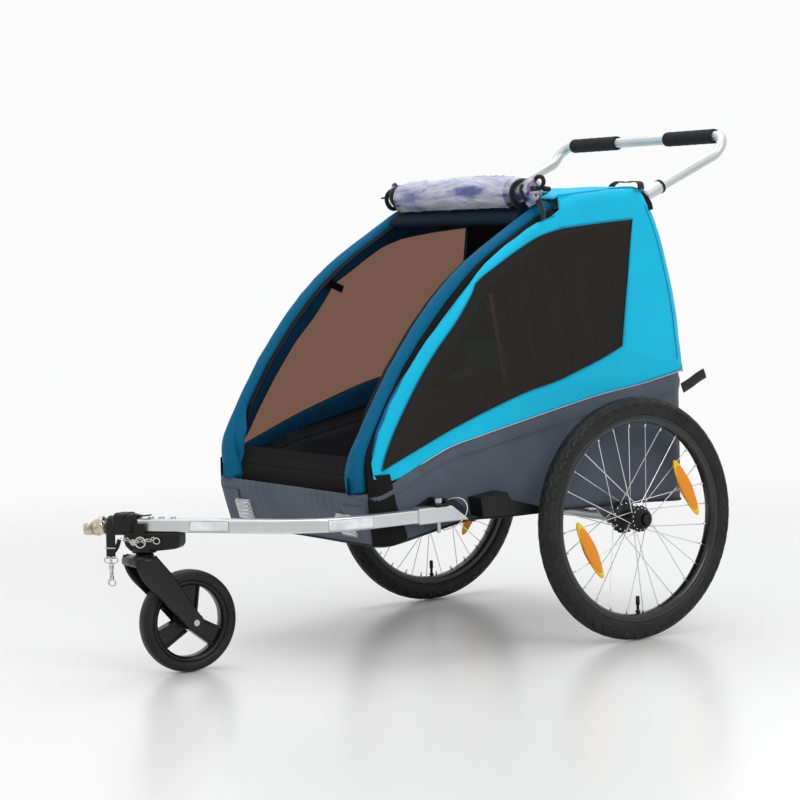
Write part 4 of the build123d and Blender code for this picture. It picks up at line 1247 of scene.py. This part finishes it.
def coupler():
    """Cast coupler: a ribbed cone, a locking collar and a round eye with an upright hole."""
    tilt = (ARM_DIR + Vector((0, 0, -0.12))).normalized()
    start = by_arm(ARM_TIP + 0.0036, 0, ARM_Z - 0.001)
    neck = [(0, 0.0), (0, 0.0128), (0.001, 0.0142), (0.004, 0.0142), (0.006, 0.0118), (0.030, 0.0112),
            (0.030, 0.0)]
    cone = lathe("coupler_neck", neck, start, tilt, cast_metal, 48)
    drop = (by_arm(0.120, 0, 0.2815) - by_arm(0.078, 0, 0.2945)).normalized()
    bell_mouth = [(0, 0.0), (0, 0.0150), (0.0015, 0.0182), (0.004, 0.0190), (0.0065, 0.0184), (0.009, 0.0168),
                  (0.0175, 0.0152), (0.0185, 0.0162), (0.021, 0.0162), (0.022, 0.0148), (0.027, 0.0136),
                  (0.0275, 0.0)]
    flange = lathe("coupler_flange", bell_mouth, by_arm(0.078, 0, 0.2945), drop, cast_metal, 64)
    eye_centre, bore, height = by_arm(0.113, 0, 0.286), 0.005, 0.0105
    ring = [(-height, bore), (-height, 0.0105), (-height * 0.75, 0.0122), (0, 0.0129),
            (height * 0.75, 0.0122), (height, 0.0105), (height, bore + 0.001), (height * 0.85, bore)]
    eye = lathe("coupler_eye", ring + ring[:1], eye_centre, (0, 0, 1), cast_metal, 48)
    piece(joined("coupler_casting", [cone, flange, eye]), "chassis", "coupler_metal", ["coupler"])
    ear = [by_arm(0.072, 0.0105, 0.297), by_arm(0.078, 0.0155, 0.303), by_arm(0.088, 0.0155, 0.300),
           by_arm(0.094, 0.0115, 0.291)]
    piece(pipe("coupler_spring_clip", ear, 0.0013, steel, 8, 8), "chassis", "steel")


STRAP_S = 0.061            # how far past the stem the strap hangs
STRAP_ROUTE = [(-0.0185, 0.284), (-0.0185, 0.3115), (0.0185, 0.3115), (0.0185, 0.268), (0.021, 0.2318)]


def nurbs(name, points, resolution):
    """A curve object along a smooth NURBS line."""
    data = bpy.data.curves.new(name, "CURVE")
    data.dimensions = "3D"
    data.resolution_u = resolution
    spline = data.splines.new("NURBS")
    spline.points.add(len(points) - 1)
    for point, p in zip(spline.points, points):
        point.co = (*p, 1)
    spline.order_u = 3
    spline.use_endpoint_u = True
    obj = bpy.data.objects.new(name, data)
    bpy.context.scene.collection.objects.link(obj)
    return obj


def nurbs_line(points, count):
    """Points along the smooth NURBS line of a route."""
    carrier = nurbs("route", points, 24)
    mesh = bpy.data.meshes.new_from_object(carrier)
    line = [v.co.copy() for v in mesh.vertices]
    bpy.data.objects.remove(carrier)
    return resample(line, count)


def safety_strap():
    """Webbing looped over the coupler's neck, hanging down to two D-rings and a snap hook."""
    route = [by_arm(STRAP_S, side, z) for side, z in STRAP_ROUTE]
    line = nurbs_line(route, 40)
    web = sweep("safety_strap_web", line, webbing(0.0195, 0.0022, 0.0002), web_cloth, side=ARM_DIR)
    top = by_arm(STRAP_S, 0.021, 0.2318)
    hook = [ring_piece(f"hook_d_ring_{name}", top + ARM_DIR * s - Vector((0, 0, 0.003)), 0.0075, ARM_SIDE,
                       0.0014, 0.8) for name, s in (("a", 0.006), ("b", -0.006))]
    body = [(0, 0.0), (0, 0.0035), (0.004, 0.0048), (0.010, 0.0048), (0.012, 0.0036), (0.024, 0.0036),
            (0.026, 0.0046), (0.031, 0.0044), (0.033, 0.002), (0.033, 0)]
    hook.append(lathe("hook_body", body, top - Vector((0, 0, 0.0095)), (0, 0, -1), steel, 20))
    bend = [top + ARM_DIR * a - Vector((0, 0, b)) for a, b in ((-0.003, 0.040), (-0.0075, 0.046),
                                                               (-0.006, 0.0515), (0.001, 0.0525),
                                                               (0.0065, 0.049), (0.0055, 0.043),
                                                               (0.003, 0.039))]
    hook.append(pipe("hook_bill", bend, 0.0016, steel, 6, 10))
    hook_piece = piece(joined("snap_hook", hook), "chassis", "steel", ["strap_hook"])
    piece(web, "chassis", "webbing_black", ["safety_strap"])
    corners = ((-0.0112, -0.0026), (0.0112, -0.0026), (0.0112, 0.0026), (-0.0112, 0.0026))
    keeper = [[top + ARM_DIR * a + ARM_SIDE * b + Vector((0, 0, z)) for a, b in corners]
              for z in (0.019, 0.0215)]
    piece(soften(block("strap_keeper", keeper, steel), 0.0004), "chassis", "steel")


def ring_piece(name, centre, radius, normal, wire, flat=1.0):
    normal = Vector(normal).normalized()
    u = Vector((0, 0, 1)).cross(normal).normalized()
    v = normal.cross(u)
    line = [centre + u * radius * math.cos(a) + v * radius * flat * math.sin(a)
            for a in turns(28)]
    return sweep(name, line, circle(wire, 8), steel, closed=True)


def webbing_wraps():
    """The strap's spare length, wound three times round the arm's end, and its loose tail."""
    for k, (s, out, lean) in enumerate(((0.018, 0.0012, 0.004), (0.031, 0.0034, -0.005),
                                        (0.040, 0.0052, 0.006))):
        line = []
        half = ARM_H / 2 + out
        for a in turns(44):
            c, d = math.cos(a), math.sin(a)
            side = half * power(c, 0.45)
            up = half * power(d, 0.45) * (1.22 if d > 0 else 1.02)
            line.append(by_arm(s + lean * math.sin(a + k), side, ARM_Z + up + 0.0006))
        piece(sweep(f"webbing_wrap_{k}", line, webbing(0.0235, 0.0024, 0.0004), web_cloth,
                    side=lambda i: ARM_DIR, closed=True), "chassis", "webbing_black")
    tail = along_arm(((0.040, 0.000, 0.3155), (0.020, 0.003, 0.3165), (0.000, 0.006, 0.3135),
                      (-0.018, 0.008, 0.3150)))
    piece(strap("webbing_tail", tail, 0.014, 0.0022, web_cloth, ARM_SIDE), "chassis", "webbing_black")
    lower = along_arm(((0.044, 0.0165, 0.268), (0.049, 0.0175, 0.254), (0.056, 0.0185, 0.244),
                       (0.060, 0.0190, 0.2375)))
    piece(strap("webbing_brace", lower, 0.009, 0.0020, web_cloth, ARM_DIR), "chassis", "webbing_black")


def lanyard():
    """Thin steel wire that keeps the arm's pin with the trailer."""
    route = [(0.304, -0.438, 0.317), (0.316, -0.420, 0.327), (0.330, -0.404, 0.318), (0.336, -0.404, 0.298),
             (0.334, -0.420, 0.276), (0.322, -0.440, 0.265), (0.3134, -0.450, 0.263)]
    wire = nurbs("pin_lanyard", [at(*p) for p in route], 10)
    wire.data.bevel_depth, wire.data.bevel_resolution = 0.0011, 3
    wire.data.materials.append(steel)
    piece(wire, "chassis", "steel", ["arm_lanyard"])


def caster():
    """Moulded fork with ribbed legs, three-spoked core and a round solid tyre."""
    yaw = Matrix.Translation(at(STEM[0], STEM[1], 0)) @ Matrix.Rotation(math.radians(-3.5), 4, "Z")
    parts = []
    leg = [(-0.0110, 0.2352, 0.0120), (-0.0112, 0.2330, 0.0190), (-0.0102, 0.2270, 0.0232),
           (0.003, 0.2055, 0.0262), (0.026, 0.1790, 0.0252), (0.046, 0.1530, 0.0222), (0.066, 0.1270, 0.0196),
           (0.087, 0.1000, 0.0178)]
    line = catmull([(0, y, z) for y, z, w in leg], 7)
    widths = [p.z for p in catmull([(0, 0, w) for y, z, w in leg], 7)]
    for side in (1, -1):
        rows = []
        for i, (p, t, w) in enumerate(zip(line, tangents(line), widths)):
            share = i / (len(line) - 1)
            across = Vector((0, -t.z, t.y))
            x_mid = lerp(0.0285, 0.0315, share)
            row = []
            for a in turns(20):
                c, s = math.cos(a), math.sin(a)
                flat = 0.0045 * power(s, 0.5)
                row.append(yaw @ (Vector((side * (x_mid + flat + 0.001 * (1 - c * c)), p.y, p.z))
                                  + across * w * power(c, 0.8)))
            rows.append(row)
        parts.append(block(f"fork_leg_{side}", rows, fork_plastic))
        eye = [(-0.0048, 0.0041), (-0.0048, 0.0165), (-0.0036, 0.0178), (0.0036, 0.0178), (0.0050, 0.0162),
               (0.0050, 0.0041)]
        parts.append(lathe(f"fork_eye_{side}", eye, yaw @ Vector((side * 0.0315, 0.087, 0.100)),
                           yaw.to_3x3() @ Vector((side, 0, 0)), fork_plastic, 40))
    rows = []
    for x in spaced(-0.0335, 0.0335, 16):
        u = x / 0.0335
        row = []
        deep = 0.0240 - 0.002 * u * u
        tall = 0.0100 + 0.0010 * (1 - u * u)
        for a in turns(24):
            row.append(yaw @ Vector((x, -0.0115 + deep * power(math.cos(a), 0.6),
                                     0.2262 + tall * power(math.sin(a), 0.6) - 0.002 * u ** 4)))
        rows.append(row)
    parts.append(block("fork_crown", rows, fork_plastic))
    stem = [(0.225, 0.0), (0.225, 0.0180), (0.236, 0.0182), (0.2395, 0.0170), (0.2405, 0.0118),
            (0.262, 0.0109), (0.262, 0.0085), (0.266, 0.0085), (0.266, 0.0109), (0.2805, 0.0109),
            (0.281, 0.0)]
    parts.append(lathe("fork_stem", stem, at(STEM[0], STEM[1], 0), (0, 0, 1), black_plastic, 40))
    piece(joined("fork_moulding", parts), "caster_fork_swivel", "black_plastic", ["caster_fork"])

    centre = yaw @ Vector((0, 0.087, 0.100))
    axis = yaw.to_3x3() @ Vector((1, 0, 0))
    tread = closed_profile([(-0.0150, 0.0788), (-0.0178, 0.0835), (-0.0186, 0.0890), (-0.0168, 0.0948),
                            (-0.0120, 0.0984), (-0.0060, 0.0997)], [(0, 0.1000)])
    piece(lathe("caster_tyre_round", tread, centre, axis, tyre_rubber, 128), "caster_wheel", "tyre_rubber",
          ["caster_tyre"])
    hoop = closed_profile([(-0.0148, 0.0786), (-0.0152, 0.0752), (-0.0135, 0.0738), (-0.0110, 0.0700)])
    boss = closed_profile([(-0.0248, 0.0042), (-0.0248, 0.0120), (-0.0200, 0.0150), (-0.0120, 0.0175)])
    core = [lathe("core_hoop", hoop, centre, axis, fork_plastic, 96),
            lathe("core_boss", boss, centre, axis, fork_plastic, 48)]
    v = axis.cross(Vector((0, 0, 1)))
    for k in range(3):
        angle = math.radians(90 + 120 * k + 3)
        out = Vector((0, 0, 1)) * math.sin(angle) + v * math.cos(angle)
        across = axis.cross(out)
        for name, half in (("web", 0.0050), ("rib_a", 0.0100), ("rib_b", 0.0100)):
            rows = []
            for d in (0.014, 0.030, 0.050, 0.0712):
                wide = lerp(0.0135, 0.0185, (d - 0.014) / 0.057)
                if name == "web":
                    low, high = -wide, wide
                else:
                    edge = wide if name == "rib_a" else -wide
                    low, high = edge - 0.0022, edge + 0.0022
                corners = ((-half, low), (half, low), (half, high), (-half, high))
                rows.append([centre + out * d + axis * x + across * w for x, w in corners])
            core.append(soften(block(f"core_{name}_{k}", rows, fork_plastic), 0.0010))
    piece(joined("caster_core_moulding", core), "caster_wheel", "black_plastic", ["caster_core"])
    for node_name in ("caster_axle", "caster_pin", "tow_arm_pin"):
        soften(nodes[node_name], 0.0004)


def stem_bracket():
    """Moulded clamp under the arm, its knuckle round the stem, and the bead chain on its pin."""
    rows = []
    top = 0.2815
    for s, low, wide in ((0.036, 0.262, 0.014), (0.032, 0.254, 0.0175), (0.022, 0.246, 0.0195),
                         (0.000, 0.244, 0.0195), (-0.034, 0.247, 0.0195), (-0.062, 0.250, 0.0190),
                         (-0.074, 0.252, 0.0185), (-0.0800, 0.258, 0.0160)):
        section = ((-1, low + 0.004), (-0.8, low), (0.8, low), (1, low + 0.004), (1, top - 0.002), (0.9, top),
                   (-0.9, top), (-1, top - 0.002))
        rows.append([by_arm(s, side * wide, z) for side, z in section])
    body = soften(block("clamp_body", rows, black_plastic), 0.0012, 3, 25)
    knuckle = lathe("clamp_knuckle", [(0.2422, 0.0), (0.2422, 0.0235), (0.246, 0.0245), (0.262, 0.0245),
                                      (0.266, 0.0228), (0.2812, 0.0228),
                                      (0.2812, 0.0)], at(STEM[0], STEM[1], 0), (0, 0, 1), black_plastic, 48)
    lug = [[by_arm(s, side, z) for s, side in ((-0.012, 0.0135), (0.012, 0.0135), (0.012, 0.0235),
                                               (-0.012, 0.0235))]
           for z in (0.262, 0.300)]
    ear = soften(block("clamp_ear", lug, black_plastic), 0.0016, 3)
    piece(joined("stem_clamp", [body, knuckle, ear]), "chassis", "black_plastic", ["caster_bracket"])
    beads = []
    for k in range(15):
        s = lerp(0.034, -0.030, k / 14)
        sag = 0.004 * math.sin(math.pi * k / 14) + 0.0015 * math.sin(k * 2.1)
        spot = by_arm(s, 0.0262 + 0.0006 * (k % 2), 0.2705 - sag)
        beads.append(ring_piece(f"bead_{k}", spot, 0.0034, ARM_SIDE + ARM_DIR * (0.8 if k % 2 else -0.5),
                                0.0008, 0.75))
    beads.append(ring_piece("bead_end", by_arm(-0.037, 0.0265, 0.2675), 0.0066, ARM_SIDE, 0.0011, 0.85))
    piece(joined("pin_chain", beads), "chassis", "steel")


wheels()
arm_labels()
coupler()
safety_strap()
webbing_wraps()
lanyard()
caster()
stem_bracket()


# ---- rolled rain cover ----
ROLL = (-0.156, 0.914)
ROLL_HALF_L, ROLL_Y, ROLL_Z = 0.232, 0.0300, 0.0305


def crumple(x, angle, seed):
    """Long sharp creases of a rolled vinyl sheet, from -1 to 1."""
    angle += 3.5 * x + 0.5 * math.sin(x * 17 + seed)
    p = Vector((x * 8, math.cos(angle) * 1.9, math.sin(angle) * 1.9 + seed))
    fine = Vector((x * 26, math.cos(angle) * 5, math.sin(angle) * 5 + seed))
    return 0.75 * (0.7 - 2.6 * abs(noise.noise(p))) + 0.5 * (0.5 - 2.4 * abs(noise.noise(fine)))


def on_roll(x, angle, swell, lift=0.0):
    """A point round the bundle: swell times its section, at an angle."""
    return at(x, ROLL[0] + ROLL_Y * swell * math.cos(angle),
              ROLL[1] + lift + ROLL_Z * swell * math.sin(angle))


def roll_shell(name, scale, seed, amount, mat):
    """One layer of the bundle: full in the middle, drawn in where the loops tie it."""
    rows = []
    for i in range(150):
        x = lerp(-ROLL_HALF_L - 0.004, ROLL_HALF_L + 0.016, i / 149)
        u = abs(x) / ROLL_HALF_L
        size = (1 - 0.40 * clamp((u - 0.72) / 0.24) ** 1.4) * (1 + 0.04 * math.sin(x * 13 + 1))
        size *= 1 + 0.25 * clamp((u - 0.975) / 0.06)
        row = []
        for angle in turns(72):
            swell = scale * size * (1 + amount * crumple(x, angle, seed))
            lift = 0.003 * (1 - u ** 2) + 0.004 * clamp((u - 0.7) / 0.3)
            row.append(on_roll(x, angle, swell, lift))
        rows.append(row)
    return block(name, rows, mat)


def rain_cover():
    core = roll_shell("rain_cover_core", 0.84, 3.1, 0.18, vinyl_core)
    skin = roll_shell("rain_cover_skin", 1.02, 7.7, 0.21, vinyl)
    flap = []
    for i in range(90):
        x = lerp(-0.200, 0.190, i / 89)
        row = []
        for k in range(13):
            angle = math.radians(lerp(70, 238 + 14 * noise.noise(Vector((x * 8, 2, 0))), k / 12))
            swell = 1.07 + 0.05 * crumple(x, angle, 12.4) + 0.06 * (k / 12) ** 3
            row.append(on_roll(x, angle, swell))
        flap.append(row)
    edge = loft("rain_cover_flap", flap, vinyl)
    hang = []
    for k in range(14):
        s = k / 13
        hang.append([at(lerp(0.246, 0.268, w) + 0.004 * math.sin(9 * s + 3 * w),
                        lerp(-0.165, -0.176, s) + 0.012 * w,
                        lerp(0.915, 0.882 + 0.018 * abs(w - 0.5), s)) for w in [m / 6 for m in range(7)]])
    tail = loft("rain_cover_tail", hang, vinyl)
    piece(joined("rain_cover_bundle", [core, skin, edge, tail]), "roll_cage", "clear_vinyl",
          ["rain_cover_roll"])


def elastic_loop(name, x, radius_y, radius_z, thick, lean, side):
    line = []
    for angle in turns(48):
        bulge = 1 + 0.05 * math.sin(3 * angle + lean)
        line.append(at(side * (x + lean * math.sin(angle)), ROLL[0] + radius_y * bulge * math.cos(angle),
                       ROLL[1] - 0.001 + radius_z * bulge * math.sin(angle)))
    return sweep(name, line, circle(thick, 10), web_cloth, closed=True)


def roll_ties():
    """Two elastic loops at each end of the bundle, with a toggle and the loop's spare tail."""
    for side, word in SIDES:
        parts = [elastic_loop(f"loop_a_{word}", 0.212, 0.0262, 0.0250, 0.0060, 0.006, side),
                 elastic_loop(f"loop_b_{word}", 0.240, 0.0225, 0.0205, 0.0048, -0.005, side)]
        knot = mirrored(side, ((0.243, -0.150, 0.936), (0.252, -0.146, 0.944), (0.262, -0.143, 0.942),
                               (0.265, -0.142, 0.932), (0.259, -0.145, 0.922), (0.249, -0.149, 0.921)))
        parts.append(pipe(f"knot_{word}", knot, 0.0045, web_cloth, 6, 10))
        toggle = [(-0.009, 0.0), (-0.009, 0.0035), (-0.006, 0.0055), (0.006, 0.0055), (0.009, 0.0035),
                  (0.009, 0.0)]
        parts.append(lathe(f"toggle_{word}", toggle, at(side * 0.270, -0.139, 0.919), (side, 0.3, -0.1),
                           black_plastic, 20))
        if side > 0:
            tail = ((0.246, -0.158, 0.925), (0.258, -0.155, 0.910), (0.272, -0.156, 0.892),
                    (0.284, -0.160, 0.874), (0.2895, -0.166, 0.858))
        else:
            tail = ((0.240, -0.150, 0.916), (0.258, -0.150, 0.917), (0.275, -0.152, 0.918),
                    (0.292, -0.153, 0.9165))
        points = mirrored(side, tail)
        parts.append(strap(f"tail_{word}", points, 0.011, 0.0034, web_cloth, (0, 1, 0.2), crown=0.0008))
        piece(joined(f"roll_tie_{word}", parts), "roll_cage", "webbing_black",
              replaces_on_left(side, "roll_ties"))


# ---- handlebar ----
HANDLE_START, HANDLE_KNEE, HANDLE_TOP = (0.150, 0.915), (0.318, 0.987), (0.349, 1.026)


def handlebar():
    """Foam grips with rounded ends, and a rubber ring where each bar end enters its socket."""
    for side, word in SIDES:
        r = 0.0157
        profile = [(0.0830, 0.0111), (0.0830, 0.0138), (0.0836, 0.0150), (0.0850, r - 0.0002), (0.0880, r)]
        profile += [(lerp(0.088, 0.233, k / 20), r + 0.0002 * math.sin(k * 1.7)) for k in range(1, 21)]
        profile += [(0.2360, r - 0.0002), (0.2374, 0.0150), (0.2380, 0.0138), (0.2380, 0.0111)]
        centre = at(0, *HANDLE_TOP)
        piece(lathe(f"foam_grip_{word}", profile, centre, (side, 0, 0), foam, 56), "uprights",
              "black_foam_rubber", [f"grip_{word}"])
        slope = (HANDLE_KNEE[1] - HANDLE_START[1]) / (HANDLE_KNEE[0] - HANDLE_START[0])
        rear = at(side * 0.270, HANDLE_START[0] + 0.011, HANDLE_START[1] + slope * 0.011)
        ring = [(-0.002, 0.0137), (-0.002, 0.0148), (0.0035, 0.0148), (0.0045, 0.0138), (0.0045, 0.0112),
                (-0.001, 0.0112)]
        piece(lathe(f"socket_ring_{word}", ring + ring[:1], rear, (0, 1, slope), black_plastic, 40),
              "uprights", "black_plastic")


# ---- seat ----
SEAT_X, PAD_HALF_W = 0.103, 0.203
UPRIGHT_FOOT, UPRIGHT_HEAD = Vector((0, 0.170, 0.440)), Vector((0, 0.090, 0.8893))


def up_the_upright(x, r, forward):
    """A place r metres up the uprights' line and so far in front of it."""
    along = (UPRIGHT_HEAD - UPRIGHT_FOOT).normalized()
    ahead = Vector((0, -along.z, along.y))
    p = UPRIGHT_FOOT + along * r + ahead * forward
    return at(x, p.y, p.z)


def pad_block(name, place, half_w, u0, u1, v0, v1, mat):
    """A closed slab in pad coordinates: place(x, u, v) with v as its thickness."""
    rows = []
    for u in spaced(u0, u1, 24):
        across = spaced(-half_w, half_w, 36)
        rows.append([place(x, u, v1) for x in across] + [place(x, u, v0) for x in reversed(across)])
    return block(name, rows, mat)


def inflated(pad, voxel=0.0055, pressure=4.0, limit=0.010):
    """Blows the pad up as cloth, then keeps every point within limit of where it began."""
    remesh = pad.modifiers.new("remesh", "REMESH")
    remesh.mode, remesh.voxel_size = "VOXEL", voxel
    applied(pad)
    start = [v.co.copy() for v in pad.data.vertices]
    cloth_mod = pad.modifiers.new("cloth", "CLOTH")
    cloth_mod.settings.use_pressure = True
    cloth_mod.settings.uniform_pressure_force = pressure
    cloth_mod.settings.effector_weights.gravity = 0
    cloth_mod.settings.quality = 4
    cloth_mod.settings.tension_stiffness = cloth_mod.settings.compression_stiffness = 30
    cloth_mod.point_cache.frame_start, cloth_mod.point_cache.frame_end = 1, 20
    scene = bpy.context.scene
    for f in range(1, 21):
        scene.frame_set(f)
    applied(pad)
    for v, before in zip(pad.data.vertices, start):
        step = v.co - before
        if step.length > limit:
            v.co = before + step * (limit / step.length)
    scene.frame_set(1)
    return pad


def quilt(pad, depth_at):
    """Presses seams and channels into the pad: depth_at(point) metres along each point's normal."""
    smooth = pad.modifiers.new("smooth", "SMOOTH")
    smooth.factor, smooth.iterations = 0.5, 4
    applied(pad)
    normals = [v.normal.copy() for v in pad.data.vertices]
    for v, normal in zip(pad.data.vertices, normals):
        v.co -= normal * depth_at(v.co)
    refine(pad, 1)
    for poly in applied(pad).data.polygons:
        poly.use_smooth = True
    return pad


def seat():
    """Sling seat for two: a base cushion and a back cushion, each quilted into two places, with harnesses."""
    base = pad_block("seat_base_cushion", at, PAD_HALF_W, -0.258, 0.108, 0.322, 0.353, seat_cloth)
    base = inflated(base)
    middle = at(0, -0.075, 0)
    def seams(p):
        upper = clamp((p.z - 0.34) / 0.01)
        return (0.007 * bell(p.x, 0, 0.010) + 0.004 * bell(abs(p.x), 0.105, 0.007) * upper
                + 0.004 * bell(p.y, middle.y - 0.06, 0.006) * upper)
    quilt(base, seams)
    piece(base, "chassis", "fabric_black", ["seat_base"])
    back = pad_block("seat_back_cushion", up_the_upright, PAD_HALF_W, 0.042, 0.358, 0.032, 0.050, seat_cloth)
    back = inflated(back, limit=0.008)
    origin, along = up_the_upright(0, 0, 0), (UPRIGHT_HEAD - UPRIGHT_FOOT).normalized()
    quilt(back, lambda p: 0.006 * bell(p.x, 0, 0.010) + 0.0035 * sum(bell((p - origin).dot(along), r, 0.006)
                                                                     for r in (0.12, 0.20, 0.28)))
    piece(back, "uprights", "fabric_black", ["seat_back"])
    reach = (UPRIGHT_HEAD - UPRIGHT_FOOT).length
    rows = [[up_the_upright(lerp(-0.266, 0.266, m / 30), r, 0.026 + wobble(m * 0.3, r * 9, 0, 1, 0.002))
             for m in range(31)] for r in spaced(0.335, reach - 0.004, 16)]
    lining = fabric("backrest_lining", rows, black_cloth)
    piece(lining, "uprights", "fabric_black")
    for side, word in SIDES:
        harness(side, word)


def harness(side, word):
    """Five-point harness of one place: two shoulder straps with pads, a crotch strap and a buckle."""
    centre_x = side * SEAT_X
    parts = []
    buckle_at = at(centre_x, -0.020, 0.425)
    for lean in (-1, 1):
        top = [up_the_upright(centre_x + lean * 0.045, r, f) for r, f in ((0.345, 0.060), (0.27, 0.066),
                                                                          (0.18, 0.070), (0.08, 0.080))]
        line = top + [buckle_at + Vector((lean * 0.014, 0.006, 0.018))]
        parts.append(strap(f"shoulder_{word}_{lean}", line, 0.022, 0.0018, web_cloth, (1, 0, 0)))
        pad = [up_the_upright(centre_x + lean * 0.045, r, f) for r, f in ((0.32, 0.0655), (0.25, 0.070),
                                                                          (0.17, 0.0745))]
        parts.append(strap(f"shoulder_pad_{word}_{lean}", pad, 0.040, 0.0075, seat_cloth, (1, 0, 0),
                           crown=0.002))
        waist = [at(centre_x + lean * 0.098, 0.085, 0.372), at(centre_x + lean * 0.060, 0.040, 0.392),
                 buckle_at + Vector((lean * 0.020, 0.0, -0.002))]
        parts.append(strap(f"waist_{word}_{lean}", waist, 0.022, 0.0018, web_cloth, (0, 0.4, 1)))
    crotch = [at(centre_x, -0.095, 0.3725), at(centre_x, -0.070, 0.386),
              buckle_at + Vector((0, -0.010, -0.020))]
    parts.append(strap(f"crotch_{word}", crotch, 0.024, 0.0020, web_cloth, (1, 0, 0)))
    face = [(-0.022, 0.020), (0.022, 0.020), (0.025, 0.0), (0.018, -0.024), (-0.018, -0.024), (-0.025, 0.0)]
    rows = [[buckle_at + Vector((a * grow, b * grow * 0.35 + d, b * grow)) for a, b in face]
            for d, grow in ((-0.008, 0.82), (-0.006, 1.0), (0.006, 1.0), (0.008, 0.85))]
    parts.append(soften(block(f"buckle_{word}", rows, black_plastic), 0.0015, 2))
    obj = joined(f"harness_{word}", parts)
    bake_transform(obj)


# ---- finishes of the CAD parts that stay ----
CAD_FINISH = {
    tube_metal: ["floor_frame", "axle_beam", "upright_left", "upright_right", "low_crossbar",
                 "handlebar_tube", "handlebar_sockets", "roll_cage_hoop"],
    arm_metal: ["tow_arm_tube", "tow_arm_sleeve"],
    bracket_metal: ["axle_brackets", "frame_hinge_brackets"],
    steel: ["wheel_axles", "frame_bolts", "tow_arm_pin", "arm_bolts", "caster_pin", "caster_axle"],
    spoke_metal: ["spokes_left", "spokes_right"],
    black_plastic: ["tow_arm_anchor", "wheel_guards"],
}


def finish_cad():
    for mat, names in CAD_FINISH.items():
        for name in names:
            obj = nodes[name]
            for slot in obj.material_slots:
                slot.material = mat
            if mat is not spoke_metal:
                soften(obj, 0.0006)


rain_cover()
roll_ties()
handlebar()
seat()
finish_cad()


# ---- studio ----
def studio():
    """Pale floor that fades out, even white light and one soft key from above."""
    scene = bpy.context.scene
    scene.view_settings.view_transform = "Standard"
    world = bpy.data.worlds.new("studio")
    world.use_nodes = True
    background = world.node_tree.nodes["Background"]
    background.inputs["Color"].default_value = (0.965, 0.965, 0.967, 1)
    links, made = world.node_tree.links, world.node_tree.nodes
    coords, along, spread = [made.new("ShaderNode" + kind) for kind in ("TexCoord", "VectorMath", "MapRange")]
    along.operation = "DOT_PRODUCT"
    along.inputs[1].default_value = (-0.80, 0.55, 0.25)
    spread.interpolation_type = "SMOOTHSTEP"
    spread.inputs["From Min"].default_value, spread.inputs["From Max"].default_value = -0.9, 0.7
    spread.inputs["To Min"].default_value, spread.inputs["To Max"].default_value = 0.50, 1.0
    links.new(coords.outputs["Generated"], along.inputs[0])
    links.new(along.outputs["Value"], spread.inputs["Value"])
    links.new(spread.outputs["Result"], background.inputs["Strength"])
    scene.world = world
    floor_mat = material("studio_floor", (0.775, 0.775, 0.772), 0.28)
    radius = node(floor_mat, "ShaderNodeVectorMath", operation="LENGTH")
    link(floor_mat, place_of(floor_mat), radius.inputs[0])
    fade = node(floor_mat, "ShaderNodeMapRange", interpolation_type="SMOOTHSTEP")
    fade.inputs["From Min"].default_value, fade.inputs["From Max"].default_value = 1.2, 3.4
    link(floor_mat, radius.outputs["Value"], fade.inputs["Value"])
    clear = node(floor_mat, "ShaderNodeBsdfTransparent")
    link(floor_mat, fade.outputs["Result"], blended(floor_mat, shader_of(floor_mat), clear).inputs[0])
    floor = build("studio_floor", [(-4, -4, 0), (4, -4, 0), (4, 4, 0), (-4, 4, 0)], [(0, 1, 2, 3)], floor_mat)
    for name, place, size, power in (("key", (3.6, -0.2, 2.6), 2.4, 62), ("front", (0.6, -3.4, 2.2), 2.6, 16),
                                     ("top", (-0.4, 0.5, 3.2), 2.4, 30)):
        light = bpy.data.lights.new(name, "AREA")
        light.size, light.energy = size, power
        lamp = bpy.data.objects.new(name, light)
        lamp.location = place
        lamp.rotation_euler = (Vector((0, 0, 0.45)) - Vector(place)).to_track_quat("-Z", "Y").to_euler()
        scene.collection.objects.link(lamp)


CAMERA_AT = (3.9371, -2.7218, 0.845)
CAMERA_TURN = (55.277, 4.19, -1.638)       # azimuth, pitch and roll in degrees
LENS_MM, SENSOR_MM = 104.33, 36


def camera():
    """Long lens from the front left, a little above the roof line's middle."""
    azimuth, pitch, roll = [math.radians(a) for a in CAMERA_TURN]
    right = Vector((math.cos(azimuth), math.sin(azimuth), 0))
    ahead = Vector((-math.sin(azimuth), math.cos(azimuth), 0))
    look = ahead * math.cos(pitch) - Vector((0, 0, math.sin(pitch)))
    up = right.cross(look)
    level = right * math.cos(roll) + up * math.sin(roll)
    upright = up * math.cos(roll) - right * math.sin(roll)
    data = bpy.data.cameras.new("camera")
    data.lens, data.sensor_width = LENS_MM, SENSOR_MM
    cam = bpy.data.objects.new("camera", data)
    turn = Matrix((level, upright, -look)).transposed().to_4x4()
    cam.matrix_world = Matrix.Translation(CAMERA_AT) @ turn
    bpy.context.scene.collection.objects.link(cam)
    bpy.context.scene.camera = cam


studio()
camera()
